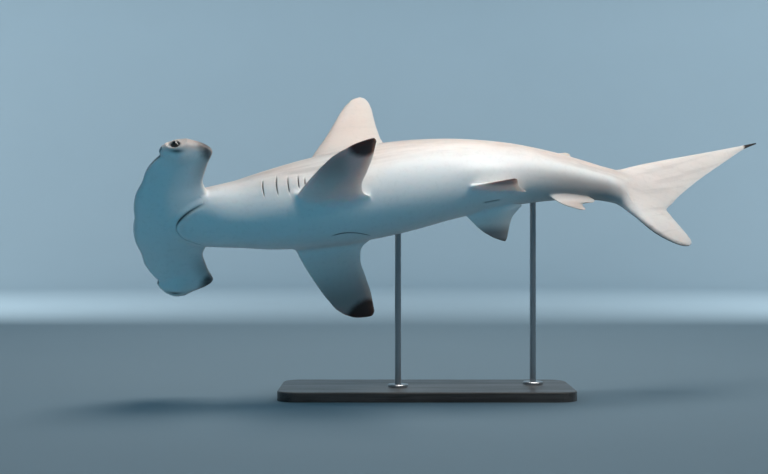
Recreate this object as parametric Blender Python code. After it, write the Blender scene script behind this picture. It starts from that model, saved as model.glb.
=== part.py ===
"""A life-size scalloped hammerhead shark, banked in a swimming turn, on a plain stand.

Units are metres and +Z is up. The shark is first built straight, with x running from the
snout to the tail, y to the animal's right and z up through its back, and is then bent along
its spine into the pose. Its lengths are given as fractions of the total length.
"""

import math

import bmesh
import bpy
import numpy as np
from mathutils import Vector
from mathutils.bvhtree import BVHTree

TOTAL_LENGTH = 2.2
GAP = 0.0003

# Where the spine runs: heading, climb and bank in degrees at these shares of the length.
POSE_AT = (0.0, 0.12, 0.25, 0.40, 0.55, 0.72, 1.0)
HEADING = (4.5, 13.8, 9.5, 8.3, 14.1, 20.6, 9.9)
CLIMB = (-5.5, 4.7, 10.5, 10.1, 0.4, -10.7, -1.4)
BANK = (56.8, 57.0, 42.5, 43.7, 45.3, 39.1, 39.2)
HELD_AT = 0.35
HELD_POINT = (-0.144, -0.042, 0.647)

# Half widths and half heights of the trunk.
TRUNK_AT = (0.10, 0.145, 0.185, 0.215, 0.275, 0.33, 0.38, 0.44, 0.50, 0.556, 0.59, 0.65, 0.69,
            0.7165)
TRUNK_HALF_WIDTH = (0.0435, 0.0475, 0.0550, 0.0580, 0.0610, 0.0618, 0.0605, 0.0550, 0.0480,
                    0.0410, 0.0350, 0.0255, 0.0214, 0.0185)
TRUNK_HALF_HEIGHT = (0.0350, 0.0465, 0.0545, 0.0605, 0.0675, 0.0700, 0.0690, 0.0630, 0.0550,
                     0.0465, 0.0420, 0.0340, 0.0290, 0.0300)
TRUNK_SIDES = 36
PIT_AT, PIT_DEPTH, PIT_LENGTH = 0.7095, 0.0028, 0.0035
NECK_START, NECK_END, TORSO_END, ABDOMEN_END, TRUNK_END = 0.150, 0.262, 0.420, 0.560, 0.7165

# The wide head, from the middle (0) to the side end (1): front and rear edges of its plan.
HEAD_AT = (0.0, 0.15, 0.30, 0.45, 0.60, 0.72, 0.80, 0.86, 0.92, 0.965, 1.0)
FRONT_X = (0.0036, 0.0020, 0.0048, 0.0128, 0.0190, 0.0290, 0.0362, 0.0352, 0.0402, 0.0505, 0.0740)
FRONT_Y = (0.0, 0.0185, 0.0375, 0.0570, 0.0775, 0.0925, 0.1008, 0.1076, 0.1150, 0.1206, 0.1224)
REAR_X = (0.1140, 0.1120, 0.1050, 0.0965, 0.1000, 0.1045, 0.1085, 0.1098, 0.1050, 0.0930, 0.0740)
REAR_Y = (0.0, 0.0185, 0.0375, 0.0570, 0.0760, 0.0900, 0.0988, 0.1048, 0.1106, 0.1164, 0.1224)
HEAD_ABOVE = (0.0225, 0.0220, 0.0198, 0.0165, 0.0138, 0.0124, 0.0117, 0.0113, 0.0112, 0.0112,
              0.0112)
HEAD_BELOW = (0.0250, 0.0240, 0.0206, 0.0163, 0.0132, 0.0117, 0.0110, 0.0106, 0.0106, 0.0106,
              0.0106)
# The ends droop at their front edge and rise at their rear edge.
HEAD_MIDDLE, HEAD_DROOP, HEAD_RISE = -0.0018, 0.0035, 0.0045
CORE_AT = (0.034, 0.060, 0.080, 0.100, 0.120, 0.150)
CORE_HALF_WIDTH = (0.0120, 0.0260, 0.0350, 0.0425, 0.0458, 0.0480)
CORE_HALF_HEIGHT = (0.0090, 0.0195, 0.0265, 0.0340, 0.0408, 0.0473)

EYE_AT, EYE_RADIUS = (0.0575, 0.1168, -0.0080), 0.0067
EYE_FACING = (-0.10, 0.94, -0.32)
ORBIT_RADIUS, ORBIT_INSET = 0.0084, 0.0034
LID_RADIUS, LID_THICK, LID_AHEAD = 0.0068, 0.0011, 0.0024
MOUTH_FRONT, MOUTH_BACK, MOUTH_HALF_WIDTH = 0.0608, 0.0955, 0.0335
MOUTH_SLOT, LIP_RADIUS = 0.0008, 0.0024
NOSTRIL_FROM, NOSTRIL_TO, NOSTRIL_RADIUS = 0.830, 0.890, 0.0013
GROOVE_FROM, GROOVE_TO, GROOVE_RADIUS = 0.60, 0.79, 0.0010
GILL_AT = (0.1797, 0.1994, 0.2161, 0.2310, 0.2404)
GILL_TOP = (-1.0, 4.0, -1.0, -2.0, -6.0)
GILL_BOTTOM = (-29.0, -28.0, -26.0, -21.0, -18.0)
GILL_WIDTH, GILL_DEPTH = 0.0009, 0.0035
GILL_BOW, GILL_TILT = 0.0022, 0.0035

# Fins. Each outline lists the front and rear edges from the root out to the tip. A paired
# fin's reaches are shares of its span, and those of its rear edge fall short of the tip.
PECTORAL_ROOT = {"left": (0.2240, 0.0497, -0.0332), "right": (0.2185, 0.0497, -0.0332)}
PECTORAL_SPAN = 0.1335
PECTORAL_AT = (-0.35, -0.16, -0.07, -0.015, 0.06, 0.22, 0.47, 0.69, 0.86, 0.93, 0.97, 1.0)
PECTORAL_FRONT = (-0.0080, -0.0050, -0.0030, -0.0010, 0.0018, 0.0090, 0.0223, 0.0358, 0.0500,
                  0.0610, 0.0745, 0.0935)
PECTORAL_FRONT_REACH = (-0.35, -0.16, -0.07, -0.015, 0.06, 0.22, 0.47, 0.69, 0.86, 0.932, 0.985,
                        1.006)
PECTORAL_REAR = (0.0700, 0.0820, 0.0945, 0.1025, 0.0930, 0.0874, 0.0924, 0.0974, 0.0992, 0.0999,
                 0.1003, 0.1004)
PECTORAL_REAR_REACH = (-0.35, -0.16, -0.07, -0.015, 0.06, 0.22, 0.47, 0.68, 0.84, 0.900, 0.940,
                       0.970)
PECTORAL_HALF_THICK = (0.0088, 0.0090, 0.0088, 0.0086, 0.0080, 0.0070, 0.0054, 0.0040, 0.0028,
                       0.0020, 0.0014, 0.0007)
PECTORAL_DROOP = {"left": 16.5, "right": 24.0}
PECTORAL_SLANT = (0.05, 0.16)
PECTORAL_TRAIL = {"left": 0.0090, "right": -0.0025}

FIRST_DORSAL_AT = (0.045, 0.066, 0.0735, 0.0800, 0.0935, 0.121, 0.149, 0.1725, 0.1890, 0.1975,
                   0.2000)
FIRST_DORSAL_FRONT = (0.244, 0.2535, 0.2580, 0.2632, 0.2735, 0.2960, 0.3160, 0.3315, 0.3455,
                      0.3565, 0.3650)
FIRST_DORSAL_REAR = (0.350, 0.3540, 0.3860, 0.3850, 0.3770, 0.3742, 0.3752, 0.3768, 0.3772,
                     0.3745, 0.3690)
FIRST_DORSAL_HALF_THICK = (0.0085, 0.0078, 0.0074, 0.0070, 0.0064, 0.0053, 0.0042, 0.0032,
                           0.0022, 0.0014, 0.0006)

SECOND_DORSAL_AT = (0.026, 0.0385, 0.0410, 0.0445, 0.0500, 0.0530, 0.0545)
SECOND_DORSAL_FRONT = (0.604, 0.6120, 0.6155, 0.6205, 0.6290, 0.6365, 0.6430)
SECOND_DORSAL_REAR = (0.640, 0.6710, 0.6680, 0.6535, 0.6500, 0.6495, 0.6470)
SECOND_DORSAL_HALF_THICK = (0.0030, 0.0028, 0.0026, 0.0022, 0.0015, 0.0010, 0.0006)

ANAL_AT = (0.026, 0.0400, 0.0440, 0.0500, 0.0565, 0.0615, 0.0640)
ANAL_FRONT = (0.580, 0.5880, 0.5925, 0.5985, 0.6070, 0.6200, 0.6350)
ANAL_REAR = (0.642, 0.6680, 0.6640, 0.6460, 0.6445, 0.6465, 0.6450)
ANAL_HALF_THICK = (0.0034, 0.0032, 0.0029, 0.0025, 0.0018, 0.0012, 0.0006)

PELVIC_ROOT = (0.4665, 0.0285, -0.0500)
PELVIC_SPAN = 0.0415
PELVIC_AT = (-0.50, -0.22, -0.08, 0.05, 0.25, 0.47, 0.74, 0.90, 1.0)
PELVIC_FRONT = (-0.0060, -0.0030, -0.0010, 0.0015, 0.0085, 0.0168, 0.0320, 0.0460, 0.0600)
PELVIC_REAR = (0.0400, 0.0520, 0.0830, 0.0800, 0.0720, 0.0688, 0.0666, 0.0655, 0.0640)
PELVIC_HALF_THICK = (0.0050, 0.0046, 0.0044, 0.0042, 0.0036, 0.0030, 0.0020, 0.0012, 0.0006)
PELVIC_DROOP = {"left": 38.5, "right": 36.0}
PELVIC_SLANT = (0.16, 0.03)
PELVIC_TRAIL = {"left": -0.0110, "right": 0.0}

# Tail fin: the upper lobe runs on from the trunk, and the lower lobe is set below it.
UPPER_AT = (0.0, 0.10, 0.20, 0.30, 0.45, 0.62, 0.80, 0.92, 1.0)
UPPER_TOP_X = (0.7165, 0.7350, 0.7620, 0.7900, 0.8350, 0.8850, 0.9400, 0.9770, 1.0010)
UPPER_TOP_Z = (0.0300, 0.0402, 0.0552, 0.0692, 0.0900, 0.1100, 0.1295, 0.1412, 0.1486)
UPPER_LOW_X = (0.7165, 0.7430, 0.7700, 0.7960, 0.8280, 0.8720, 0.9280, 0.9760, 1.0016)
UPPER_LOW_Z = (-0.0300, -0.0300, -0.0270, -0.0216, 0.0105, 0.0520, 0.0972, 0.1332, 0.1464)
UPPER_HALF_THICK = (0.0185, 0.0140, 0.0105, 0.0078, 0.0054, 0.0040, 0.0028, 0.0018, 0.0007)
LOWER_AT = (0.0, 0.25, 0.45, 0.65, 0.82, 0.93, 1.0)
LOWER_FRONT_X = (0.7190, 0.7210, 0.7370, 0.7633, 0.7900, 0.8075, 0.8180)
LOWER_FRONT_Z = (-0.0150, -0.0385, -0.0530, -0.0755, -0.0870, -0.0900, -0.0895)
LOWER_REAR_X = (0.7850, 0.7985, 0.8060, 0.8155, 0.8245, 0.8275, 0.8240)
LOWER_REAR_Z = (-0.0150, -0.0270, -0.0390, -0.0540, -0.0690, -0.0790, -0.0860)
LOWER_HALF_THICK = (0.0100, 0.0086, 0.0066, 0.0046, 0.0030, 0.0018, 0.0008)

# The stand, in metres.
BASE_SIZE = (0.92, 0.36, 0.030)
BASE_CORNER, BASE_BEVEL = 0.060, 0.004
ROD_RADIUS, FLANGE_RADIUS, FLANGE_HEIGHT = 0.010, 0.032, 0.008
ROD_AT = {"front": (-0.088, -0.024), "rear": (0.3445, 0.050)}
ROD_TOP = 0.80


def curve(x, xs, ys):
    """A smooth curve through the points (xs, ys), read at x."""
    xs, ys = np.asarray(xs, float), np.asarray(ys, float)
    slope = np.gradient(ys, xs)
    at = np.clip(np.asarray(x, float), xs[0], xs[-1])
    i = np.clip(np.searchsorted(xs, at, side="right") - 1, 0, len(xs) - 2)
    width = xs[i + 1] - xs[i]
    t = (at - xs[i]) / width
    start = (2 * t**3 - 3 * t**2 + 1) * ys[i] + (t**3 - 2 * t**2 + t) * width * slope[i]
    end = (3 * t**2 - 2 * t**3) * ys[i + 1] + (t**3 - t**2) * width * slope[i + 1]
    return start + end


def spine():
    """Points and axes of the bent spine at even steps: position, tailward, right and back."""
    steps = np.linspace(0, 1, 401)
    heading = np.radians(curve(steps, POSE_AT, HEADING))
    climb = np.radians(curve(steps, POSE_AT, CLIMB))
    bank = np.radians(curve(steps, POSE_AT, BANK))[:, None]
    tail = np.stack([np.cos(climb) * np.cos(heading), np.cos(climb) * np.sin(heading),
                     np.sin(climb)], 1)
    level = np.stack([-np.sin(heading), np.cos(heading), 0 * heading], 1)
    upright = np.cross(tail, level)
    right = np.cos(bank) * level - np.sin(bank) * upright
    back = np.cos(bank) * upright + np.sin(bank) * level
    place = np.zeros((401, 3))
    place[1:] = np.cumsum((tail[1:] + tail[:-1]) / 2, 0) * TOTAL_LENGTH / 400
    place += np.array(HELD_POINT) - place[round(HELD_AT * 400)]
    return steps, place, tail, right, back


SPINE = spine()


def posed(points):
    """Straight points, in metres, carried into the bent pose."""
    points = np.asarray(points, float)
    steps, *tracks = SPINE
    share = np.clip(points[:, 0] / TOTAL_LENGTH, 0, 1)
    place, tail, right, back = (
        np.stack([np.interp(share, steps, track[:, k]) for k in range(3)], 1) for track in tracks
    )
    ahead = points[:, :1] - share[:, None] * TOTAL_LENGTH
    return place + ahead * tail + points[:, 1:2] * right + points[:, 2:3] * back


def material(name, color, roughness, metallic=0.0):
    """A plain finish."""
    made = bpy.data.materials.new(name)
    made.use_nodes = True
    shader = made.node_tree.nodes["Principled BSDF"]
    shader.inputs["Base Color"].default_value = (*color, 1.0)
    shader.inputs["Roughness"].default_value = roughness
    shader.inputs["Metallic"].default_value = metallic
    return made


def add_mesh(name, points, faces):
    """A mesh object with outward faces."""
    mesh = bpy.data.meshes.new(name)
    mesh.from_pydata([tuple(p) for p in np.asarray(points, float)], [], faces)
    work = bmesh.new()
    work.from_mesh(mesh)
    bmesh.ops.remove_doubles(work, verts=work.verts, dist=1e-7)
    bmesh.ops.recalc_face_normals(work, faces=work.faces)
    if work.calc_volume(signed=True) < 0:
        bmesh.ops.reverse_faces(work, faces=work.faces)
    work.to_mesh(mesh)
    work.free()
    made = bpy.data.objects.new(name, mesh)
    bpy.context.scene.collection.objects.link(made)
    return made


def loft(name, rings):
    """A closed solid through rings of equally many points, with a flat cap at each end."""
    rings = np.asarray(rings, float)
    count, sides = rings.shape[:2]
    faces = []
    for i in range(count - 1):
        for j in range(sides):
            k = (j + 1) % sides
            faces.append((i * sides + j, i * sides + k, (i + 1) * sides + k))
            faces.append((i * sides + j, (i + 1) * sides + k, (i + 1) * sides + j))
    faces.append(tuple(range(sides))[::-1])
    faces.append(tuple((count - 1) * sides + j for j in range(sides)))
    return add_mesh(name, rings.reshape(-1, 3), faces)


def tube(name, path, radius, sides=8):
    """A round tube along a path of points, with radius one number or one for each point."""
    path = np.asarray(path, float)
    radius = np.broadcast_to(radius, len(path))
    along = np.gradient(path, axis=0)
    along /= np.linalg.norm(along, axis=1)[:, None]
    first = np.cross(along, (0.0, 0.0, 1.0))
    short = np.linalg.norm(first, axis=1) < 0.2
    first[short] = np.cross(along[short], (0.0, 1.0, 0.0))
    first /= np.linalg.norm(first, axis=1)[:, None]
    second = np.cross(along, first)
    turn = np.arange(sides) * 2 * math.pi / sides
    ring = np.cos(turn)[None, :, None] * first[:, None] + np.sin(turn)[None, :, None] * second[:, None]
    return loft(name, path[:, None] + ring * radius[:, None, None])


def ball(name, centre, radius, rings=10, sides=16):
    """A sphere."""
    rows = np.linspace(0.02, math.pi - 0.02, rings)
    turn = np.arange(sides) * 2 * math.pi / sides
    ring = np.stack([np.outer(np.sin(rows), np.cos(turn)), np.outer(np.cos(rows), np.ones(sides)),
                     np.outer(np.sin(rows), np.sin(turn))], 2)
    return loft(name, np.array(centre) + ring * radius)


def settle(obj):
    """Replaces an object's mesh by the result of its modifiers."""
    graph = bpy.context.evaluated_depsgraph_get()
    mesh = bpy.data.meshes.new_from_object(obj.evaluated_get(graph))
    obj.modifiers.clear()
    obj.data = mesh


def combine(obj, others, operation, solver="EXACT"):
    """One Boolean between an object and a collection of others, which it uses up."""
    group = bpy.data.collections.new(obj.name + " helpers")
    bpy.context.scene.collection.children.link(group)
    for other in others:
        bpy.context.scene.collection.objects.unlink(other)
        group.objects.link(other)
    change = obj.modifiers.new(operation.title(), "BOOLEAN")
    change.operation, change.solver = operation, solver
    change.operand_type, change.collection = "COLLECTION", group
    bpy.context.view_layer.update()
    settle(obj)
    for other in list(group.objects):
        bpy.data.objects.remove(other)
    bpy.data.collections.remove(group)


def keep_largest(obj):
    """Keeps only the largest closed surface of an object."""
    work = bmesh.new()
    work.from_mesh(obj.data)
    left, shells = set(work.faces), []
    while left:
        seed = left.pop()
        shell, stack = {seed}, [seed]
        while stack:
            for edge in stack.pop().edges:
                for face in edge.link_faces:
                    if face in left:
                        left.discard(face)
                        shell.add(face)
                        stack.append(face)
        shells.append(shell)
    shells.sort(key=lambda shell: sum(face.calc_area() for face in shell), reverse=True)
    extra = [face for shell in shells[1:] for face in shell]
    bmesh.ops.delete(work, geom=extra, context="FACES")
    loose = [vert for vert in work.verts if not vert.link_faces]
    bmesh.ops.delete(work, geom=loose, context="VERTS")
    work.to_mesh(obj.data)
    work.free()


def finish_node(obj, finish, bend=True, angle=40.0):
    """Cleans a node's mesh, bends it into the pose, and shades it smooth but for its edges."""
    work = bmesh.new()
    work.from_mesh(obj.data)
    bmesh.ops.triangulate(work, faces=[f for f in work.faces if len(f.verts) > 4])
    bmesh.ops.dissolve_degenerate(work, edges=work.edges, dist=2e-6)
    bmesh.ops.triangulate(work, faces=work.faces)
    work.to_mesh(obj.data)
    work.free()
    mesh = obj.data
    if bend:
        flat = np.empty(len(mesh.vertices) * 3, np.float32)
        mesh.vertices.foreach_get("co", flat)
        bent = posed(flat.reshape(-1, 3))
        mesh.vertices.foreach_set("co", bent.astype(np.float32).ravel())
    mesh.update()
    mesh.materials.clear()
    mesh.materials.append(finish)
    mesh.shade_smooth()
    mesh.set_sharp_from_angle(angle=math.radians(angle))
    return obj


def trunk_rings(stations, grow=0.0):
    """Cross-sections of the trunk at these shares of the length, each in its own flat plane."""
    stations = np.asarray(stations, float)
    turn = np.arange(TRUNK_SIDES) * 2 * math.pi / TRUNK_SIDES
    wide = curve(stations, TRUNK_AT, TRUNK_HALF_WIDTH) * TOTAL_LENGTH + grow
    high = curve(stations, TRUNK_AT, TRUNK_HALF_HEIGHT) * TOTAL_LENGTH + grow
    across = np.outer(wide, np.cos(turn))
    up = np.outer(high, np.sin(turn))
    pit = PIT_DEPTH * TOTAL_LENGTH * np.exp(-(((stations - PIT_AT) / PIT_LENGTH) ** 2))
    top = np.clip(np.sin(turn), 0, 1) ** 8
    up = up - np.outer(pit, top)
    along = np.repeat(stations[:, None] * TOTAL_LENGTH, TRUNK_SIDES, 1)
    return np.stack([along, across, up], 2)


def stations_between(start, end, step=0.0170):
    """Even stations, closer together near the tail fin, held half a gap inside each end."""
    inside = 0.5 * GAP / TOTAL_LENGTH
    count = max(2, round((end - start) / step))
    rows = np.linspace(start + inside, end - inside, count + 1)
    if end >= TRUNK_END:
        rows = np.union1d(rows[rows < 0.700], np.linspace(0.700, end - inside, 7))
    return rows


def trunk_node(name, start, end):
    """A length of the trunk."""
    return loft(name, trunk_rings(stations_between(start, end)))


def envelope(grow=GAP):
    """The whole trunk, a gap larger all round, which trims what meets it."""
    ends = (0.100, NECK_START, NECK_END, TORSO_END, ABDOMEN_END, TRUNK_END)
    rows = np.concatenate([stations_between(a, b) for a, b in zip(ends, ends[1:])])
    return loft("trunk envelope", trunk_rings(np.unique(rows), grow))


def foil(share, roundness):
    """Half thickness across a fin's chord: a wing section, or an ellipse where roundness is 1."""
    wing = (2.969 * np.sqrt(share) - 1.26 * share - 3.516 * share**2 + 2.843 * share**3
            - 1.036 * share**4)
    return (1 - roundness) * wing + roundness * 2 * np.sqrt(share * (1 - share))


def blade(name, at, front, rear, half_thick, place, slices=13, across=8, roundness=None,
          blunt=0.0003):
    """A fin through slices from its root to its tip.

    front and rear are each a pair of curves, for the length along the body and the reach from
    it. place carries (along, reach, side) to a straight point.
    """
    share = 0.5 - 0.5 * np.cos(np.linspace(0, math.pi, across))
    step = at[0] + (at[-1] - at[0]) * np.sin(np.linspace(0, math.pi / 2, slices))
    rings = []
    for t in step:
        fx, fr = (float(curve(t, at, ys)) for ys in front)
        rx, rr = (float(curve(t, at, ys)) for ys in rear)
        thick = float(curve(t, at, half_thick))
        rounded = 0.0 if roundness is None else float(curve(t, at, roundness))
        half = np.maximum(thick * foil(share, rounded), blunt * min(1.0, thick / 0.002))
        along, reach = fx + (rx - fx) * share, fr + (rr - fr) * share
        upper = [place(a, r, h) for a, r, h in zip(along, reach, half)]
        lower = [place(a, r, -h) for a, r, h in zip(along[::-1], reach[::-1], half[::-1])]
        rings.append(upper + lower)
    return loft(name, np.array(rings) * TOTAL_LENGTH)


def paired_fin(name, root, span, at, front, rear, half_thick, droop, slant, trail, side):
    """A fin on one side, from its root on the flank, hanging by the droop angle.

    front and rear are each a pair of curves, for the length along the body and the reach as a
    share of the span. slant says how far the root leans inwards and downwards for each step
    tailward. It fades out towards the tip. trail shifts the edges tailward towards the tip.
    """
    angle = math.radians(droop)

    def place(along, reach, half):
        lean = along * (1 - min(1.0, max(0.0, reach / span)))
        y = root[1] + reach * math.cos(angle) + half * math.sin(angle) - slant[0] * lean
        z = root[2] - reach * math.sin(angle) + half * math.cos(angle) - slant[1] * lean
        return root[0] + along, side * y, z

    out = np.clip(at, 0, 1)
    front = (np.asarray(front[0]) + trail * out**6, np.asarray(front[1]) * span)
    rear = (np.asarray(rear[0]) + trail * out, np.asarray(rear[1]) * span)
    return blade(name, at, front, rear, half_thick, place)


def middle_fin(name, at, front, rear, half_thick, up):
    """A fin on the middle line, above the back or below the belly."""

    def place(along, reach, half):
        return along, half, up * reach

    return blade(name, at, (front, at), (rear, at), half_thick, place)


def outline(v):
    """Front and rear edge of the head's plan at the column v, from -1 (left) to 1 (right)."""
    side, at = np.sign(v), np.abs(v)
    front = np.stack([curve(at, HEAD_AT, FRONT_X), side * curve(at, HEAD_AT, FRONT_Y)], -1)
    rear = np.stack([curve(at, HEAD_AT, REAR_X), side * curve(at, HEAD_AT, REAR_Y)], -1)
    return front, rear


def head_wing():
    """The wide, flat part of the head: columns from its front edge to its rear edge."""
    ends = 0.90 + 0.10 * np.sin(np.linspace(0.3, math.pi / 2, 5))
    half = np.concatenate([np.linspace(0, 0.90, 17), ends])
    v = np.concatenate([-half[:0:-1], half])
    share = 0.5 - 0.5 * np.cos(np.linspace(0, math.pi, 13))
    nose = np.sqrt(1 - (1 - np.clip(share / 0.075, 0, 1)) ** 2)
    swell = np.sin(np.clip(share / 0.42, 0, 1) * math.pi / 2)
    tail = 1 - 0.62 * np.clip((share - 0.42) / 0.58, 0, 1) ** 1.6
    close = np.sqrt(1 - np.clip((share - 0.955) / 0.045, 0, 1) ** 2)
    section = (0.42 * nose + 0.58 * swell) * tail * close
    end = (1 - np.clip((np.abs(v) - 0.86) / 0.14, 0, 1) ** 3) ** (1 / 3)
    front, rear = outline(v)
    plan = front[:, None] + (rear - front)[:, None] * share[None, :, None]
    above = (curve(np.abs(v), HEAD_AT, HEAD_ABOVE) * end)[:, None] * section
    below = (curve(np.abs(v), HEAD_AT, HEAD_BELOW) * end)[:, None] * section
    middle = HEAD_MIDDLE + np.outer(v**2, HEAD_RISE * share - HEAD_DROOP)
    top = np.dstack([plan, middle + above])
    bottom = np.dstack([plan, middle - below])[:, -2:0:-1]
    return loft("head wing", np.concatenate([top, bottom], 1)[1:-1] * TOTAL_LENGTH)


def head_core():
    """The front of the trunk, where it runs into the head."""
    turn = np.arange(TRUNK_SIDES) * 2 * math.pi / TRUNK_SIDES
    at = np.linspace(CORE_AT[0], NECK_START - 0.5 * GAP / TOTAL_LENGTH, 13)
    wide, high = curve(at, CORE_AT, CORE_HALF_WIDTH), curve(at, CORE_AT, CORE_HALF_HEIGHT)
    blend = np.clip((at - 0.10) / 0.05, 0, 1)
    wide = wide * (1 - blend) + curve(at, TRUNK_AT, TRUNK_HALF_WIDTH) * blend
    high = high * (1 - blend) + curve(at, TRUNK_AT, TRUNK_HALF_HEIGHT) * blend
    rings = np.stack([np.repeat(at[:, None], TRUNK_SIDES, 1), np.outer(wide, np.cos(turn)),
                      np.outer(high, np.sin(turn))], 2)
    return loft("head core", rings * TOTAL_LENGTH)


def underside(tree, x, y):
    """Height of the head's underside at a straight x and y."""
    hit = tree.ray_cast(Vector((x, y, -1.0)), Vector((0, 0, 1)))
    return hit[0].z


def mouth_path(tree, y_share):
    """The curved line of the mouth, on the head's underside."""
    y = MOUTH_HALF_WIDTH * TOTAL_LENGTH * y_share
    x = (MOUTH_FRONT + (MOUTH_BACK - MOUTH_FRONT) * np.abs(y_share) ** 2.2) * TOTAL_LENGTH
    return np.array([(a, b, underside(tree, a, b)) for a, b in zip(x, y)])


def eye_axes(side):
    """An eye's centre, and the directions outwards, ahead and upwards at it."""
    eye = np.array(EYE_AT) * (1, side, 1) * TOTAL_LENGTH
    outward = np.array(EYE_FACING) * (1, side, 1)
    outward /= np.linalg.norm(outward)
    ahead = np.array((-1.0, 0.0, 0.0)) + outward[0] * outward
    ahead /= np.linalg.norm(ahead)
    return eye, outward, ahead, np.cross(ahead, outward)


def edge_path(side, start, end, count, drop):
    """Points along the head's front edge between two columns, dropped below its middle."""
    edge = outline(side * np.linspace(start, end, count))[0]
    return np.stack([edge[:, 0] + 0.0003, edge[:, 1], np.full(count, -drop)], 1) * TOTAL_LENGTH


def build_head(skin):
    """The head with its lids, nostrils, mouth line and lips."""
    head = head_wing()
    combine(head, [head_core()], "UNION")
    keep_largest(head)
    tree = BVHTree.FromObject(head, bpy.context.evaluated_depsgraph_get())
    size = TOTAL_LENGTH
    across = np.linspace(-1, 1, 21)
    line = mouth_path(tree, across)
    taper = np.sqrt(np.clip(1.03 - across**2, 0.02, 1))
    added = [tube("lips", line + (0, 0, 0.0008), LIP_RADIUS * size * (0.45 + 0.55 * taper), 10)]
    turn = np.linspace(0, 2 * math.pi, 21)[:-1]
    for side in (-1, 1):
        eye, outward, ahead, up = eye_axes(side)
        added.append(ball(f"orbit {side}", eye - outward * ORBIT_INSET * size, ORBIT_RADIUS * size))
        ring = eye + outward * LID_AHEAD * size + LID_RADIUS * size * (
            np.cos(turn)[:, None] * ahead + 0.92 * np.sin(turn)[:, None] * up)
        added.append(closed_ring(f"lids {side}", ring, outward, LID_THICK * size))
    combine(head, added, "UNION")
    keep_largest(head)
    cutters = [tube("mouth slot", line - (0, 0, 0.0012), MOUTH_SLOT * size * (0.4 + 0.6 * taper), 8)]
    for side in (-1, 1):
        socket = ball(f"socket {side}", eye_axes(side)[0], EYE_RADIUS * size + GAP, rings=12, sides=18)
        slit = tube(f"nostril {side}", edge_path(side, NOSTRIL_FROM, NOSTRIL_TO, 9, 0.0062),
                    NOSTRIL_RADIUS * size * taper_ends(9), 8)
        groove = tube(f"groove {side}", edge_path(side, GROOVE_FROM, GROOVE_TO, 11, 0.0046),
                      GROOVE_RADIUS * size * taper_ends(11), 6)
        cutters += [socket, slit, groove]
    combine(head, cutters, "DIFFERENCE")
    keep_largest(head)
    head.name = "head"
    return finish_node(head, skin)


def taper_ends(count):
    """Factors that shrink towards both ends of a row."""
    return 0.35 + 0.65 * np.sin(np.linspace(0.12, math.pi - 0.12, count))


def closed_ring(name, path, axis, radius, sides=6):
    """A round ring that closes on itself, lying in the plane across an axis."""
    path = np.asarray(path, float)
    centre = path.mean(0)
    out = path - centre
    out /= np.linalg.norm(out, axis=1)[:, None]
    turn = np.arange(sides) * 2 * math.pi / sides
    ring = np.cos(turn)[None, :, None] * out[:, None] + np.sin(turn)[None, :, None] * axis
    points = path[:, None] + ring * radius
    count, faces = len(path), []
    for i in range(count):
        for j in range(sides):
            k, n = (j + 1) % sides, (i + 1) % count
            faces.append((i * sides + j, i * sides + k, n * sides + k))
            faces.append((i * sides + j, n * sides + k, n * sides + j))
    return add_mesh(name, points.reshape(-1, 3), faces)


def gill_cutter(name, at, top, bottom, side):
    """A thin bent slot that follows the flank, slanting forwards as it goes in."""
    turn = np.radians(np.linspace(bottom, top, 9))
    wide = float(curve(at, TRUNK_AT, TRUNK_HALF_WIDTH))
    high = float(curve(at, TRUNK_AT, TRUNK_HALF_HEIGHT))
    bow = GILL_BOW * np.cos(np.linspace(-1.0, 1.0, 9) * math.pi / 2)
    bow -= GILL_TILT * np.linspace(0, 1, 9)
    slim = GILL_WIDTH * taper_ends(9)
    rings = []
    for a, b, w in zip(turn, bow, slim):
        rim, deep = np.array((math.cos(a) * wide, math.sin(a) * high)), 1 - GILL_DEPTH / wide
        corners = []
        for reach, forward in ((1.03, 0.001), (deep, -0.002)):
            y, z = rim * reach
            for shift in (-w, w) if reach > 1 else (w, -w):
                corners.append((at - b + forward + shift, side * y, z))
        rings.append(corners)
    return loft(name, np.array(rings) * TOTAL_LENGTH)


def build_trunk(skin):
    """The neck with its gill slits, the torso, the abdomen and the tail stock."""
    neck = trunk_node("neck", NECK_START, NECK_END)
    slots = [
        gill_cutter(f"gill {number} {side}", at, top, bottom, side)
        for side in (-1, 1)
        for number, (at, top, bottom) in enumerate(zip(GILL_AT, GILL_TOP, GILL_BOTTOM))
    ]
    combine(neck, slots, "DIFFERENCE")
    keep_largest(neck)
    finish_node(neck, skin)
    finish_node(trunk_node("torso", NECK_END, TORSO_END), skin)
    finish_node(trunk_node("abdomen", TORSO_END, ABDOMEN_END), skin)
    finish_node(trunk_node("tail_stock", ABDOMEN_END, TRUNK_END), skin)


def build_tail_fin(skin):
    """The two lobes of the tail fin. The lower one is trimmed by the upper one."""

    def place(along, reach, half):
        return along, half, reach

    def upper(name, swell=0.0):
        rounded = (1.0, 0.9, 0.6, 0.35, 0.1, 0.0, 0.0, 0.0, 0.0)
        made = blade(name, UPPER_AT, (UPPER_TOP_X, UPPER_TOP_Z), (UPPER_LOW_X, UPPER_LOW_Z),
                     UPPER_HALF_THICK, place, 17, 12, rounded)
        moves = [vertex.normal * swell for vertex in made.data.vertices]
        for vertex, move in zip(made.data.vertices, moves):
            near = 1 - min(1.0, (vertex.co.x / TOTAL_LENGTH - 0.7165) / 0.05)
            vertex.co += move
            vertex.co.x += 0.5 * GAP * near
        return made

    lobe = upper("caudal_upper_lobe")
    lower = blade("caudal_lower_lobe", LOWER_AT, (LOWER_FRONT_X, LOWER_FRONT_Z),
                  (LOWER_REAR_X, LOWER_REAR_Z), LOWER_HALF_THICK, place, 13, 9)
    combine(lower, [upper("upper lobe envelope", 1.4 * GAP)], "DIFFERENCE")
    combine(lower, [envelope()], "DIFFERENCE")
    keep_largest(lower)
    finish_node(lobe, skin)
    finish_node(lower, skin)


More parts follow.
